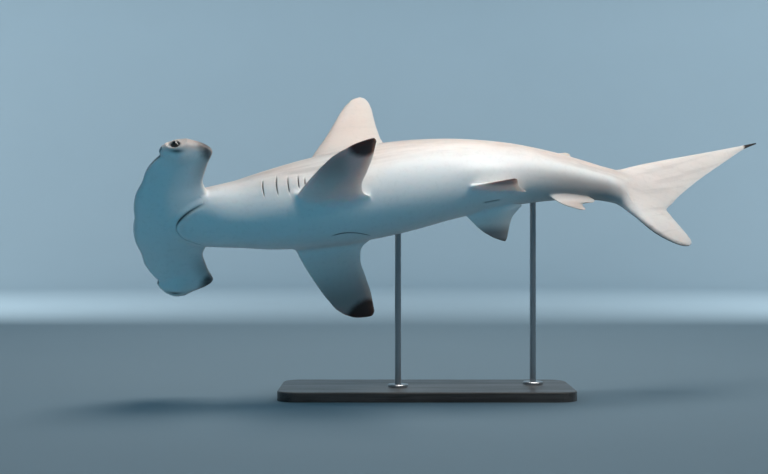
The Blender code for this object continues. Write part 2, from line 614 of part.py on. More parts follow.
def build_fins(skin):
    """The dorsal, anal and paired fins, each trimmed a gap clear of the trunk."""
    fins = [
        middle_fin("first_dorsal_fin", FIRST_DORSAL_AT, FIRST_DORSAL_FRONT, FIRST_DORSAL_REAR,
                   FIRST_DORSAL_HALF_THICK, 1),
        middle_fin("second_dorsal_fin", SECOND_DORSAL_AT, SECOND_DORSAL_FRONT, SECOND_DORSAL_REAR,
                   SECOND_DORSAL_HALF_THICK, 1),
        middle_fin("anal_fin", ANAL_AT, ANAL_FRONT, ANAL_REAR, ANAL_HALF_THICK, -1),
    ]
    for side, name in ((-1, "left"), (1, "right")):
        fins.append(paired_fin(f"pectoral_fin_{name}", PECTORAL_ROOT[name], PECTORAL_SPAN,
                               PECTORAL_AT, (PECTORAL_FRONT, PECTORAL_FRONT_REACH),
                               (PECTORAL_REAR, PECTORAL_REAR_REACH), PECTORAL_HALF_THICK,
                               PECTORAL_DROOP[name], PECTORAL_SLANT, PECTORAL_TRAIL[name],
                               side))
        fins.append(paired_fin(f"pelvic_fin_{name}", PELVIC_ROOT, PELVIC_SPAN, PELVIC_AT,
                               (PELVIC_FRONT, PELVIC_AT), (PELVIC_REAR, PELVIC_AT),
                               PELVIC_HALF_THICK, PELVIC_DROOP[name], PELVIC_SLANT,
                               PELVIC_TRAIL[name], side))
    for fin in fins:
        combine(fin, [envelope()], "DIFFERENCE")
        keep_largest(fin)
        finish_node(fin, skin)


def build_eyes(finish):
    """The two eyeballs."""
    for side, name in ((-1, "left"), (1, "right")):
        made = ball(f"eye_{name}", eye_axes(side)[0], EYE_RADIUS * TOTAL_LENGTH)
        finish_node(made, finish)


def rounded_plate():
    """The stand's base: a flat plate with rounded corners and a softened rim."""
    length, width, height = BASE_SIZE
    rings = []
    turn = np.linspace(0, math.pi / 2, 9)
    steps = ((0, 0), (height - BASE_BEVEL, 0), (height - 0.3 * BASE_BEVEL, 0.3 * BASE_BEVEL),
             (height, BASE_BEVEL))
    for level, inset in steps:
        ring = []
        for quarter, (sx, sy) in enumerate(((1, 1), (-1, 1), (-1, -1), (1, -1))):
            angle = turn + quarter * math.pi / 2
            radius = BASE_CORNER - inset
            x = sx * (length / 2 - BASE_CORNER) + radius * np.cos(angle)
            y = sy * (width / 2 - BASE_CORNER) + radius * np.sin(angle)
            ring += [(a, b, level) for a, b in zip(x, y)]
        rings.append(ring)
    return loft("stand_base", rings)


def rod(name, x, y):
    """A rod with a round foot, standing on the base."""
    turn = np.arange(24) * 2 * math.pi / 24
    foot = BASE_SIZE[2] + GAP
    profile = ((FLANGE_RADIUS, foot), (FLANGE_RADIUS, foot + 0.7 * FLANGE_HEIGHT),
               (FLANGE_RADIUS - 0.002, foot + FLANGE_HEIGHT), (ROD_RADIUS, foot + FLANGE_HEIGHT),
               (ROD_RADIUS, ROD_TOP))
    rings = [np.stack([x + r * np.cos(turn), y + r * np.sin(turn), np.full(24, z)], 1)
             for r, z in profile]
    return loft(name, rings)


def posed_envelope():
    """The trunk's envelope, bent into the pose."""
    made = envelope(GAP)
    flat = np.empty(len(made.data.vertices) * 3, np.float32)
    made.data.vertices.foreach_get("co", flat)
    made.data.vertices.foreach_set("co", posed(flat.reshape(-1, 3)).astype(np.float32).ravel())
    made.data.update()
    return made


def build_stand(base_finish, rod_finish):
    """The base plate and the two rods, each ending a gap below the belly."""
    finish_node(rounded_plate(), base_finish, bend=False, angle=30.0)
    for name, (x, y) in ROD_AT.items():
        made = rod(f"stand_rod_{name}", x, y)
        combine(made, [posed_envelope()], "DIFFERENCE")
        lower_part(made)
        finish_node(made, rod_finish, bend=False, angle=30.0)


def lower_part(obj):
    """Keeps only the shell that holds the lowest point."""
    work = bmesh.new()
    work.from_mesh(obj.data)
    work.verts.ensure_lookup_table()
    seed = min(work.verts, key=lambda vert: vert.co.z)
    kept, stack = {seed}, [seed]
    while stack:
        for edge in stack.pop().link_edges:
            for vert in edge.verts:
                if vert not in kept:
                    kept.add(vert)
                    stack.append(vert)
    bmesh.ops.delete(work, geom=[v for v in work.verts if v not in kept], context="VERTS")
    work.to_mesh(obj.data)
    work.free()


def main():
    """Builds the shark and its stand in an empty scene."""
    for obj in list(bpy.data.objects):
        bpy.data.objects.remove(obj)
    skin = material("shark_skin", (0.56, 0.54, 0.50), 0.42)
    eye = material("eye", (0.015, 0.014, 0.013), 0.08)
    plate = material("stand_plate", (0.30, 0.31, 0.32), 0.45)
    steel = material("stand_steel", (0.62, 0.63, 0.65), 0.28, 1.0)
    build_head(skin)
    build_eyes(eye)
    build_trunk(skin)
    build_tail_fin(skin)
    build_fins(skin)
    build_stand(plate, steel)


main()
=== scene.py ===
"""A life-size scalloped hammerhead shark, banked in a swimming turn, on a plain stand.

Units are metres and +Z is up. The skin is one closed surface. It is worked out on a straight
shark, with x running from the snout to the tail, y to the animal's right and z up through its
back, and is then bent along the spine into the pose. Lengths of the shark are given as shares
of its total length.
"""

from __future__ import annotations

import logging
import math
from dataclasses import dataclass, field
from enum import Enum

import bmesh
import bpy
import numpy as np
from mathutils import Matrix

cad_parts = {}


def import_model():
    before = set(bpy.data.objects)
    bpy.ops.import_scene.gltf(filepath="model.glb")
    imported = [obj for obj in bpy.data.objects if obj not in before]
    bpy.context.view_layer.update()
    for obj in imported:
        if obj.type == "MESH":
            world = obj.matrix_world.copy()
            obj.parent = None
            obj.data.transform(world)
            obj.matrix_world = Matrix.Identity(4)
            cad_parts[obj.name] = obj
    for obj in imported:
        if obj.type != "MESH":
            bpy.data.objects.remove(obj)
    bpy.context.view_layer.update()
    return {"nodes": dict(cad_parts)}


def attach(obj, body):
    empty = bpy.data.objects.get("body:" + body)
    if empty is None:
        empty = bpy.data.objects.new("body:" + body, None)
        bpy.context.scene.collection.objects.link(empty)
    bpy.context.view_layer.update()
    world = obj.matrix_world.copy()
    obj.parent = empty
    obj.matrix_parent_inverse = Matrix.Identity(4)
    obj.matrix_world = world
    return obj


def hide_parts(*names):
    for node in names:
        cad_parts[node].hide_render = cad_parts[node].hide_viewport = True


Array = np.ndarray
LOG = logging.getLogger("shark")
TOTAL_LENGTH = 2.2


class Side(Enum):
    """A side of the animal, with the sign of its y."""

    LEFT = -1
    RIGHT = 1


def curve(x: Array | float, xs: tuple[float, ...], ys: Array | tuple[float, ...]) -> Array:
    """A smooth curve through given points.

    Formula: a cubic Hermite piece in each interval, whose slope at a point is the weighted
    mean of the slopes on both sides of it.

    Args:
        x: where the curve is read.
        xs: rising places of the points.
        ys: heights of the points.

    Returns:
        The heights at x.
    """
    xs, ys = np.asarray(xs, float), np.asarray(ys, float)
    slope = np.gradient(ys, xs)
    at = np.clip(np.asarray(x, float), xs[0], xs[-1])
    i = np.clip(np.searchsorted(xs, at, side="right") - 1, 0, len(xs) - 2)
    width = xs[i + 1] - xs[i]
    t = (at - xs[i]) / width
    start = (2 * t**3 - 3 * t**2 + 1) * ys[i] + (t**3 - 2 * t**2 + t) * width * slope[i]
    end = (3 * t**2 - 2 * t**3) * ys[i + 1] + (t**3 - t**2) * width * slope[i + 1]
    return start + end


def ramp(x: Array, start: float, end: float) -> Array:
    """A smooth step from 0 at start to 1 at end: 3t^2 - 2t^3."""
    t = np.clip((x - start) / (end - start), 0.0, 1.0)
    return t * t * (3.0 - 2.0 * t)


def hump(x: Array, centre: float, width: float) -> Array:
    """A bell of height 1: exp(-((x - centre) / width)^2)."""
    return np.exp(-(((x - centre) / width) ** 2))


def spread(start: float, end: float, count: int, density: Array) -> Array:
    """Rising values whose spacing is the inverse of a density.

    Args:
        start: the first value.
        end: the last value.
        count: how many steps.
        density: relative number of values at 4001 even places from start to end.

    Returns:
        count + 1 values.
    """
    places = np.linspace(start, end, 4001)
    total = np.concatenate([[0.0], np.cumsum((density[1:] + density[:-1]) / 2)])
    return np.interp(np.linspace(0, total[-1], count + 1), total, places)


@dataclass(frozen=True)
class Spine:
    """The pose: how the straight shark is bent, climbs and banks."""

    at: tuple[float, ...] = (0.0, 0.12, 0.25, 0.40, 0.55, 0.72, 1.0)
    heading: tuple[float, ...] = (4.5, 13.8, 9.5, 8.3, 14.1, 20.6, 9.9)
    climb: tuple[float, ...] = (-5.5, 4.7, 10.5, 10.1, 0.4, -10.7, -1.4)
    bank: tuple[float, ...] = (56.8, 57.0, 42.5, 43.7, 45.3, 39.1, 39.2)
    held_at: float = 0.35
    held_point: tuple[float, float, float] = (-0.144, -0.042, 0.647)

    def tracks(self) -> tuple[Array, list[Array]]:
        """The spine at 401 even steps.

        Formula: the tailward axis is (cos c cos h, cos c sin h, sin c) for climb c and heading
        h, the side and back axes are turned about it by the bank, and the place is its sum.

        Returns:
            The steps, and the place, tailward, right and back axes at each.
        """
        steps = np.linspace(0, 1, 401)
        heading = np.radians(curve(steps, self.at, self.heading))
        climb = np.radians(curve(steps, self.at, self.climb))
        bank = np.radians(curve(steps, self.at, self.bank))[:, None]
        tail = np.stack([np.cos(climb) * np.cos(heading), np.cos(climb) * np.sin(heading),
                         np.sin(climb)], 1)
        level = np.stack([-np.sin(heading), np.cos(heading), 0 * heading], 1)
        upright = np.cross(tail, level)
        right = np.cos(bank) * level - np.sin(bank) * upright
        back = np.cos(bank) * upright + np.sin(bank) * level
        place = np.zeros((401, 3))
        place[1:] = np.cumsum((tail[1:] + tail[:-1]) / 2, 0) * TOTAL_LENGTH / 400
        place += np.array(self.held_point) - place[round(self.held_at * 400)]
        return steps, [place, tail, right, back]

    def bend(self, points: Array) -> Array:
        """Carries straight points into the pose.

        Args:
            points: rows of straight x, y, z in metres.

        Returns:
            Rows of x, y, z in the object's frame.
        """
        steps, tracks = self.tracks()
        share = np.clip(points[:, 0] / TOTAL_LENGTH, 0, 1)
        place, tail, right, back = (
            np.stack([np.interp(share, steps, track[:, k]) for k in range(3)], 1)
            for track in tracks
        )
        ahead = points[:, :1] - share[:, None] * TOTAL_LENGTH
        return place + ahead * tail + points[:, 1:2] * right + points[:, 2:3] * back


class Patchwork:
    """One closed surface gathered from patches that share their border points."""

    def __init__(self) -> None:
        """Starts with no points."""
        self.blocks: list[Array] = []
        self.quads: list[Array] = []
        self.triangles: list[Array] = []
        self.soft: list[tuple[Array, float]] = []
        self.count = 0

    def add(self, points: Array) -> Array:
        """Adds a block of points.

        Args:
            points: an array whose last axis is x, y, z.

        Returns:
            The numbers of the points, in the block's own shape.
        """
        shape = points.shape[:-1]
        amount = int(np.prod(shape))
        self.blocks.append(points.reshape(-1, 3))
        self.count += amount
        return np.arange(self.count - amount, self.count).reshape(shape)

    def points(self) -> Array:
        """Every point so far, one row each."""
        return np.concatenate(self.blocks)

    def sheet(self, grid: Array, kept: Array | None = None) -> None:
        """Faces of a grid of points.

        Args:
            grid: point numbers in rows and columns.
            kept: for each face, whether it is there. Everywhere, if left out.
        """
        faces = np.stack([grid[:-1, :-1], grid[:-1, 1:], grid[1:, 1:], grid[1:, :-1]], -1)
        faces = faces.reshape(-1, 4) if kept is None else faces[kept]
        self.quads.append(faces)

    def bands(self, loops: Array) -> None:
        """Faces between closed loops, one loop a row."""
        self.sheet(np.concatenate([loops, loops[:, :1]], 1))

    def fold(self, loop: Array) -> None:
        """Closes a loop by joining each point to its partner on the other side.

        Args:
            loop: an even number of point numbers, with a fold at the first and the middle one.
        """
        half = len(loop) // 2
        here, there = loop[: half + 1], np.roll(loop[::-1], 1)[: half + 1]
        self.quads.append(np.stack([here[1:-2], here[2:-1], there[2:-1], there[1:-2]], 1))
        self.triangles.append(np.array([[here[0], here[1], there[1]]]))
        self.triangles.append(np.array([[here[-1], here[-2], there[-2]]]))

    def fan(self, loop: Array, centre: Array) -> None:
        """Closes a loop with one point in its middle."""
        middle = self.add(centre[None])[0]
        self.triangles.append(np.stack([loop, np.roll(loop, -1), np.full(len(loop), middle)], 1))

    def soften(self, points: Array, share: float) -> None:
        """Marks points for the smoothing of joints, by a share from 0 to 1."""
        self.soft.append((np.asarray(points).ravel(), share))

    def build(self, name: str) -> bpy.types.Object:
        """The surface as an object whose faces point outwards.

        Formula: points that no face uses are dropped, and each face's turn is set from the
        volume that the surface encloses.

        Args:
            name: the object's name.

        Returns:
            The new object, with no material.
        """
        quads = np.concatenate(self.quads)
        triangles = np.concatenate(self.triangles)
        used = np.zeros(self.count, bool)
        used[quads] = True
        used[triangles] = True
        number = np.cumsum(used) - 1
        self.kept = used
        mesh = bpy.data.meshes.new(name)
        mesh.from_pydata(self.points()[used], [], number[quads].tolist() + number[triangles].tolist())
        work = bmesh.new()
        work.from_mesh(mesh)
        bmesh.ops.recalc_face_normals(work, faces=work.faces)
        if work.calc_volume(signed=True) < 0:
            bmesh.ops.reverse_faces(work, faces=work.faces)
        open_edges = sum(1 for edge in work.edges if len(edge.link_faces) != 2)
        LOG.info("%s: %d faces, %d open edges", name, len(work.faces), open_edges)
        work.to_mesh(mesh)
        work.free()
        made = bpy.data.objects.new(name, mesh)
        bpy.context.scene.collection.objects.link(made)
        return made

    def softness(self) -> Array:
        """How much each kept point takes part in the smoothing of joints."""
        share = np.zeros(self.count)
        for points, amount in self.soft:
            np.maximum.at(share, points, amount)
        return share[self.kept]


def read(mesh: bpy.types.Mesh, what: str = "co") -> Array:
    """One row of three numbers for each vertex: its place, or its normal."""
    flat = np.empty(len(mesh.vertices) * 3, np.float32)
    (mesh.vertices if what == "co" else mesh.vertex_normals).foreach_get(
        "co" if what == "co" else "vector", flat)
    return flat.reshape(-1, 3).astype(float)


def write(mesh: bpy.types.Mesh, points: Array) -> None:
    """Puts the vertices at these places."""
    mesh.vertices.foreach_set("co", points.astype(np.float32).ravel())
    mesh.update()


def smooth(points: Array, edges: Array, share: Array, rounds: int) -> Array:
    """Evens out a surface where a share says so.

    Formula: each round moves a point towards the mean of its neighbours by half its share.

    Args:
        points: one row for each vertex.
        edges: pairs of vertex numbers.
        share: how far each vertex takes part, from 0 to 1.
        rounds: how many times.

    Returns:
        The new points.
    """
    ends = np.concatenate([edges, edges[:, ::-1]])
    near = np.bincount(ends[:, 0], minlength=len(points))[:, None]
    for _ in range(rounds):
        total = np.stack([np.bincount(ends[:, 0], points[ends[:, 1], k], len(points))
                          for k in range(3)], 1)
        points = points + 0.5 * share[:, None] * (total / near - points)
    return points


@dataclass(frozen=True)
class Trunk:
    """The body from the head to the tail fin."""

    at: tuple[float, ...] = (0.10, 0.145, 0.185, 0.215, 0.275, 0.33, 0.38, 0.44, 0.50, 0.556,
                             0.59, 0.65, 0.69, 0.7165)
    half_width: tuple[float, ...] = (0.0435, 0.0475, 0.0550, 0.0580, 0.0610, 0.0618, 0.0605,
                                     0.0550, 0.0480, 0.0410, 0.0350, 0.0255, 0.0214, 0.0185)
    half_height: tuple[float, ...] = (0.0350, 0.0465, 0.0545, 0.0605, 0.0675, 0.0700, 0.0690,
                                      0.0630, 0.0550, 0.0465, 0.0420, 0.0340, 0.0290, 0.0300)
    core_at: tuple[float, ...] = (0.034, 0.060, 0.080, 0.100, 0.120, 0.150)
    core_half_width: tuple[float, ...] = (0.0120, 0.0260, 0.0350, 0.0425, 0.0458, 0.0480)
    core_half_height: tuple[float, ...] = (0.0090, 0.0195, 0.0265, 0.0340, 0.0408, 0.0473)
    pit_at: float = 0.7095
    pit_depth: float = 0.0028
    pit_length: float = 0.0035
    sides: int = 128
    start: float = 0.150
    end: float = 0.7165
    step: float = 0.00333

    def wide(self, x: Array) -> Array:
        """Half width at x, from the core's curve to the trunk's between 0.10 and 0.15."""
        blend = np.clip((np.asarray(x) - 0.10) / 0.05, 0, 1)
        core = curve(x, self.core_at, self.core_half_width)
        return core * (1 - blend) + curve(x, self.at, self.half_width) * blend

    def high(self, x: Array) -> Array:
        """Half height at x, from the core's curve to the trunk's between 0.10 and 0.15."""
        blend = np.clip((np.asarray(x) - 0.10) / 0.05, 0, 1)
        core = curve(x, self.core_at, self.core_half_height)
        return core * (1 - blend) + curve(x, self.at, self.half_height) * blend

    def place(self, x: Array, turn: Array) -> Array:
        """Points on the trunk.

        Formula: the ellipse (wide cos t, high sin t), with the pit ahead of the tail fin
        pressed into its top by depth exp(-((x - pit) / length)^2) sin^8 t.

        Args:
            x: places along the body.
            turn: angles from the right flank up over the back, in radians.

        Returns:
            Points, with x, y, z on a new last axis.
        """
        pit = self.pit_depth * hump(x, self.pit_at, self.pit_length)
        up = self.high(x) * np.sin(turn) - pit * np.clip(np.sin(turn), 0, 1) ** 8
        return np.stack(np.broadcast_arrays(x, self.wide(x) * np.cos(turn), up), -1)


@dataclass(frozen=True)
class Gills:
    """The five gill slits of each side."""

    at: tuple[float, ...] = (0.1797, 0.1994, 0.2161, 0.2310, 0.2404)
    top: tuple[float, ...] = (-1.0, 4.0, -1.0, -2.0, -6.0)
    bottom: tuple[float, ...] = (-29.0, -28.0, -26.0, -21.0, -18.0)
    bow: float = 0.0022
    tilt: float = 0.0054
    depth: float = 0.0028
    width: float = 0.00062
    flap: float = 0.0010

    def lean(self, x: Array, angle: Array) -> Array:
        """How far the rows of points lean forward at an angle of the flank: the slits' bow, less
        the tilt that carries their tops tailward, both only near the gills."""
        shape = self.bow * hump(angle, -13.0, 17.0) - self.tilt * (ramp(angle, -45.0, 15.0) - 0.2)
        return shape * ramp(x, 0.156, 0.176) * ramp(-x, -0.262, -0.243)

    def carve(self, x: Array, angle: Array) -> tuple[Array, Array]:
        """How the slits shape the flank.

        Formula: for each slit, a flap that swells towards its rear edge, then a narrow groove
        -depth exp(-(d / width)^2), with d the distance behind the slit's bowed line, and then
        a soft hollow. All fade towards the slit's two ends.

        Args:
            x: places along the body.
            angle: degrees above the middle of the flank.

        Returns:
            The outward move, and the painted shade in the slits.
        """
        move, dark = np.zeros_like(x), np.zeros_like(x)
        for at, top, bottom in zip(self.at, self.top, self.bottom):
            middle, half = (top + bottom) / 2, (top - bottom) / 2
            place = (angle - middle) / half
            within = np.sqrt(np.clip(1 - place**2, 0, 1)) * ramp(-np.abs(place), -1.02, -0.90)
            soft = ramp(-np.abs(place), -1.25, -0.55)
            behind = x - (at - self.lean(x, angle))
            move -= self.depth * within * hump(behind, 0.0, self.width)
            rise = np.exp(np.minimum(behind, 0) / 0.0050) * ramp(-behind, -0.0006, 0.0006)
            move += self.flap * soft * rise
            move -= 0.5 * self.flap * soft * hump(behind, 0.0030, 0.0028)
            # Painted shade in the slit's groove.
            dark += within * hump(behind, 0.0, 0.00105)
        return move, np.clip(dark, 0, 1)


@dataclass(frozen=True)
class Head:
    """The wide head: its outline in plan and its thickness, from the middle to a side end."""

    at: tuple[float, ...] = (0.0, 0.15, 0.30, 0.45, 0.60, 0.72, 0.80, 0.86, 0.92, 0.965, 1.0)
    front_x: tuple[float, ...] = (0.0036, 0.0021, 0.0048, 0.0128, 0.0190, 0.0290, 0.0362, 0.0352,
                                  0.0402, 0.0505, 0.0740)
    front_y: tuple[float, ...] = (0.0, 0.0185, 0.0375, 0.0570, 0.0775, 0.0925, 0.1008, 0.1076,
                                  0.1150, 0.1206, 0.1224)
    rear_x: tuple[float, ...] = (0.1140, 0.1120, 0.1050, 0.0965, 0.1000, 0.1045, 0.1085, 0.1098,
                                 0.1050, 0.0930, 0.0740)
    rear_y: tuple[float, ...] = (0.0, 0.0185, 0.0375, 0.0570, 0.0760, 0.0900, 0.0988, 0.1048,
                                 0.1106, 0.1164, 0.1224)
    above: tuple[float, ...] = (0.0225, 0.0220, 0.0198, 0.0165, 0.0138, 0.0124, 0.0117, 0.0113,
                                0.0112, 0.0112, 0.0112)
    below: tuple[float, ...] = (0.0250, 0.0240, 0.0206, 0.0163, 0.0132, 0.0117, 0.0110, 0.0106,
                                0.0106, 0.0106, 0.0106)
    middle: float = -0.0018
    droop: float = 0.0035
    rise: float = 0.0045
    neck: float = 0.340
    rows: int = 56
    outer: int = 92
    join: float = 0.016
    eye_swell: tuple[float, float] = (0.0008, 0.0056)

    def columns(self, sides: int) -> Array:
        """Where the columns of points stand, from the left end (-1) to the right end (1).

        Formula: within the neck, neck (0.8 cos t + 0.2 (1 - 2 t / pi)), so that they meet the
        points round the trunk. Outside it they follow the length of the front edge, closer at
        the neck, the nostrils and the eyes.

        Args:
            sides: how many points the trunk has all round.

        Returns:
            Rising shares, sides / 2 + 1 of them within the neck.
        """
        turn = np.linspace(math.pi, 0, sides // 2 + 1)
        within = self.neck * (0.8 * np.cos(turn) + 0.2 * (1 - 2 * turn / math.pi))
        fine = np.linspace(self.neck, 1, 4001)
        edge = np.stack([curve(fine, self.at, self.front_x), curve(fine, self.at, self.front_y)], 1)
        length = np.linalg.norm(np.gradient(edge, fine, axis=0), axis=1)
        density = length * (1 + 2.6 * hump(fine, self.neck, 0.03) + 2.2 * hump(fine, 0.80, 0.075)
                            + 0.9 * ramp(fine, 0.88, 0.96))
        outside = spread(self.neck, 1.0, self.outer, density)[1:]
        return np.concatenate([-outside[::-1], within, outside])

    def outline(self, v: Array) -> tuple[Array, Array]:
        """Front and rear edge in plan at the columns v, as x and y."""
        side, at = np.sign(v), np.abs(v)
        front = np.stack([curve(at, self.at, self.front_x), side * curve(at, self.at, self.front_y)], -1)
        rear = np.stack([curve(at, self.at, self.rear_x), side * curve(at, self.at, self.rear_y)], -1)
        return front, rear

    def section(self, share: Array) -> Array:
        """Thickness from the front edge (0) to the rear edge (1): a round nose, a swell that is
        full at 0.42, a long taper, and a rounded close."""
        nose = np.sqrt(1 - (1 - np.clip(share / 0.075, 0, 1)) ** 2)
        swell = np.sin(np.clip(share / 0.42, 0, 1) * math.pi / 2)
        tail = 1 - 0.62 * np.clip((share - 0.42) / 0.58, 0, 1) ** 1.6
        close = np.sqrt(1 - np.clip((share - 0.955) / 0.045, 0, 1) ** 2)
        return (0.42 * nose + 0.58 * swell) * tail * close

    def half(self, v: Array, share: Array, trunk: Trunk, up: int) -> Array:
        """The upper or lower surface of the head.

        Formula: the wing's height and the trunk's height at the same plan point, joined by a
        smooth maximum b + (a - b) h + k h (1 - h), with h = 1/2 + (a - b) / 2k. The wing's
        middle level droops at the front of each end and rises at its rear, as v^2. A swelling,
        a bell along the body, stands round each eye.

        Args:
            v: the columns.
            share: for each column, the places from the front edge to the rear edge.
            trunk: the trunk that runs into the head.
            up: 1 for the upper surface and -1 for the lower.

        Returns:
            Points in columns and rows.
        """
        front, rear = self.outline(v)
        plan = front[:, None] + (rear - front)[:, None] * share[..., None]
        end = (1 - np.clip((np.abs(v) - 0.86) / 0.14, 0, 1) ** 3) ** (1 / 3)
        thick = curve(np.abs(v), self.at, self.above if up > 0 else self.below)
        level = self.middle + v[:, None] ** 2 * (self.rise * share - self.droop)
        wing = (thick * end)[:, None] * self.section(share)
        x, y = plan[..., 0], plan[..., 1]
        across = 1 - np.clip(np.abs(y) / trunk.wide(x), 0, 1) ** 2
        begun = ramp(x, 0.010, 0.040)
        core = (trunk.high(x) - up * level) * np.sqrt(across) * begun
        reach = self.join * ramp(np.maximum(wing, core), 0.0, 0.014) + 1e-6
        mix = np.clip(0.5 + 0.5 * (wing - core) / reach, 0, 1)
        height = core + (wing - core) * mix + reach * mix * (1 - mix)
        swell = hump(x, 0.0590, 0.0185) * ramp(np.abs(y), 0.088, 0.108) * ramp(share, -0.02, 0.10)
        swell = swell * np.sqrt(1 - (1 - np.clip(share / 0.06, 0, 1)) ** 2)
        height = height + self.eye_swell[up < 0] * swell
        return np.dstack([plan, level + up * height])


@dataclass(frozen=True)
class Mouth:
    """The curved line of the mouth under the head, with its lips."""

    front: float = 0.0600
    back: float = 0.0955
    half_width: float = 0.0335
    power: float = 2.1
    depth: float = 0.0021
    width: float = 0.00060

    def line(self, y: Array) -> Array:
        """Place of the line along the body: front + (back - front) |y / half width|^power."""
        share = np.clip(np.abs(y) / self.half_width, 0, 1)
        return self.front + (self.back - self.front) * share**self.power

    def distance(self, x: Array, y: Array) -> tuple[Array, Array]:
        """Distance from the line in plan, and place along it.

        Formula: the nearest of 400 points of the line. It is negative ahead of the line.

        Args:
            x: places along the body.
            y: places across it.

        Returns:
            The signed distance, and the place along the line from -1 to 1.
        """
        across = np.linspace(-1, 1, 401)
        path_y = self.half_width * across
        path_x = self.line(path_y)
        gap = np.hypot(x[:, None] - path_x, y[:, None] - path_y)
        nearest = gap.argmin(1)
        side = np.where((x > self.line(y)) & (np.abs(y) < self.half_width), 1.0, -1.0)
        return gap[np.arange(len(x)), nearest] * side, across[nearest]

    def carve(self, x: Array, y: Array) -> tuple[Array, Array]:
        """How the mouth shapes the head's underside.

        Formula: a groove -depth exp(-(d / width)^2) between an upper lip and a fuller lower
        lip, which fade at the corners, where a short fold turns rearwards.

        Args:
            x: places along the body.
            y: places across it.

        Returns:
            The outward move, and the painted shade in the groove, heavier on its left half.
        """
        gap, along = self.distance(x, y)
        fade = np.sqrt(np.clip(1.02 - np.abs(along) ** 3, 0, 1))
        # Painted shade in the groove: heavier on the left half, where the upper lip shades it, and at the
        # right corner.
        weight = 0.22 + 0.78 * ramp(-along, -0.12, 0.35) + 0.45 * hump(along, 0.90, 0.14)
        groove = hump(gap, 0.0, self.width * (0.8 + 0.6 * ramp(-along, 0.0, 0.5))) * fade
        lips = 0.0009 * hump(gap, -0.0026, 0.0019) + 0.0015 * hump(gap, 0.0034, 0.0030)
        hollow = -0.0006 * hump(gap, -0.0085, 0.0045) - 0.0005 * hump(gap, 0.0100, 0.0045)
        move = -self.depth * groove + (lips + hollow) * fade * np.clip(1.1 - np.abs(along) ** 4, 0, 1)
        dark = hump(gap, 0.0, 0.0008 + 0.0010 * ramp(-along, 0.0, 0.5)) * fade * weight
        return move, np.clip(dark, 0, 1)


@dataclass(frozen=True)
class Nostrils:
    """The nostril near each end of the head's front edge, and the grooved notch beside it."""

    slit: tuple[float, float] = (0.830, 0.890)
    slit_drop: float = 0.0066
    groove: tuple[float, float] = (0.60, 0.79)
    groove_drop: float = 0.0052
    depth: float = 0.0030

    def gap(self, points: Array, head: Head, ends: tuple[float, float], drop: float,
            inward: float) -> tuple[Array, Array]:
        """Distance from a line that follows the front edge, and place along that line.

        Formula: the nearest of 60 points of the edge between two columns, moved tailward and
        set below the middle of the body.

        Args:
            points: straight points of the head's end.
            head: the head, whose edge it follows.
            ends: the columns of the line's two ends.
            drop: how far the line lies below the body's middle.
            inward: how far it lies behind the front edge.

        Returns:
            The distances, and the places from 0 to 1.
        """
        front, _ = head.outline(np.linspace(*ends, 60))
        path = np.stack([front[:, 0] + inward, front[:, 1], np.full(60, -drop)], 1)
        mirrored = np.stack([points[:, 0], np.abs(points[:, 1]), points[:, 2]], 1)
        off = np.linalg.norm(mirrored[:, None] - path, axis=2)
        nearest = off.argmin(1)
        return off[np.arange(len(points)), nearest], nearest / 59

    def carve(self, points: Array, head: Head) -> tuple[Array, Array]:
        """How the nostril, the groove and its lip shape the head.

        Formula: the slit is pressed in by depth exp(-(d / 0.0015)^2), the groove by half of it
        with a width that grows outwards, and a lip of 0.0011 stands behind the groove.

        Args:
            points: straight points of the head's ends.
            head: the head.

        Returns:
            The outward move, and the painted shade in the slit and the groove.
        """
        slit, _ = self.gap(points, head, self.slit, self.slit_drop, 0.0009)
        groove, along = self.gap(points, head, self.groove, self.groove_drop, 0.0006)
        lip, there = self.gap(points, head, (0.62, 0.775), self.groove_drop + 0.0030, 0.0046)
        width = 0.0005 + 0.0013 * along**1.5
        move = -self.depth * hump(slit, 0.0, 0.0015) - 0.55 * self.depth * hump(groove, 0.0, width)
        move += 0.0011 * hump(lip, 0.0, 0.0022) * np.sin(math.pi * there) ** 0.5
        # Painted shade in the nostril's slit and groove.
        dark = hump(slit, 0.0, 0.0017) + (0.35 + 0.6 * along) * hump(groove, 0.0, 1.15 * width)
        return move, dark


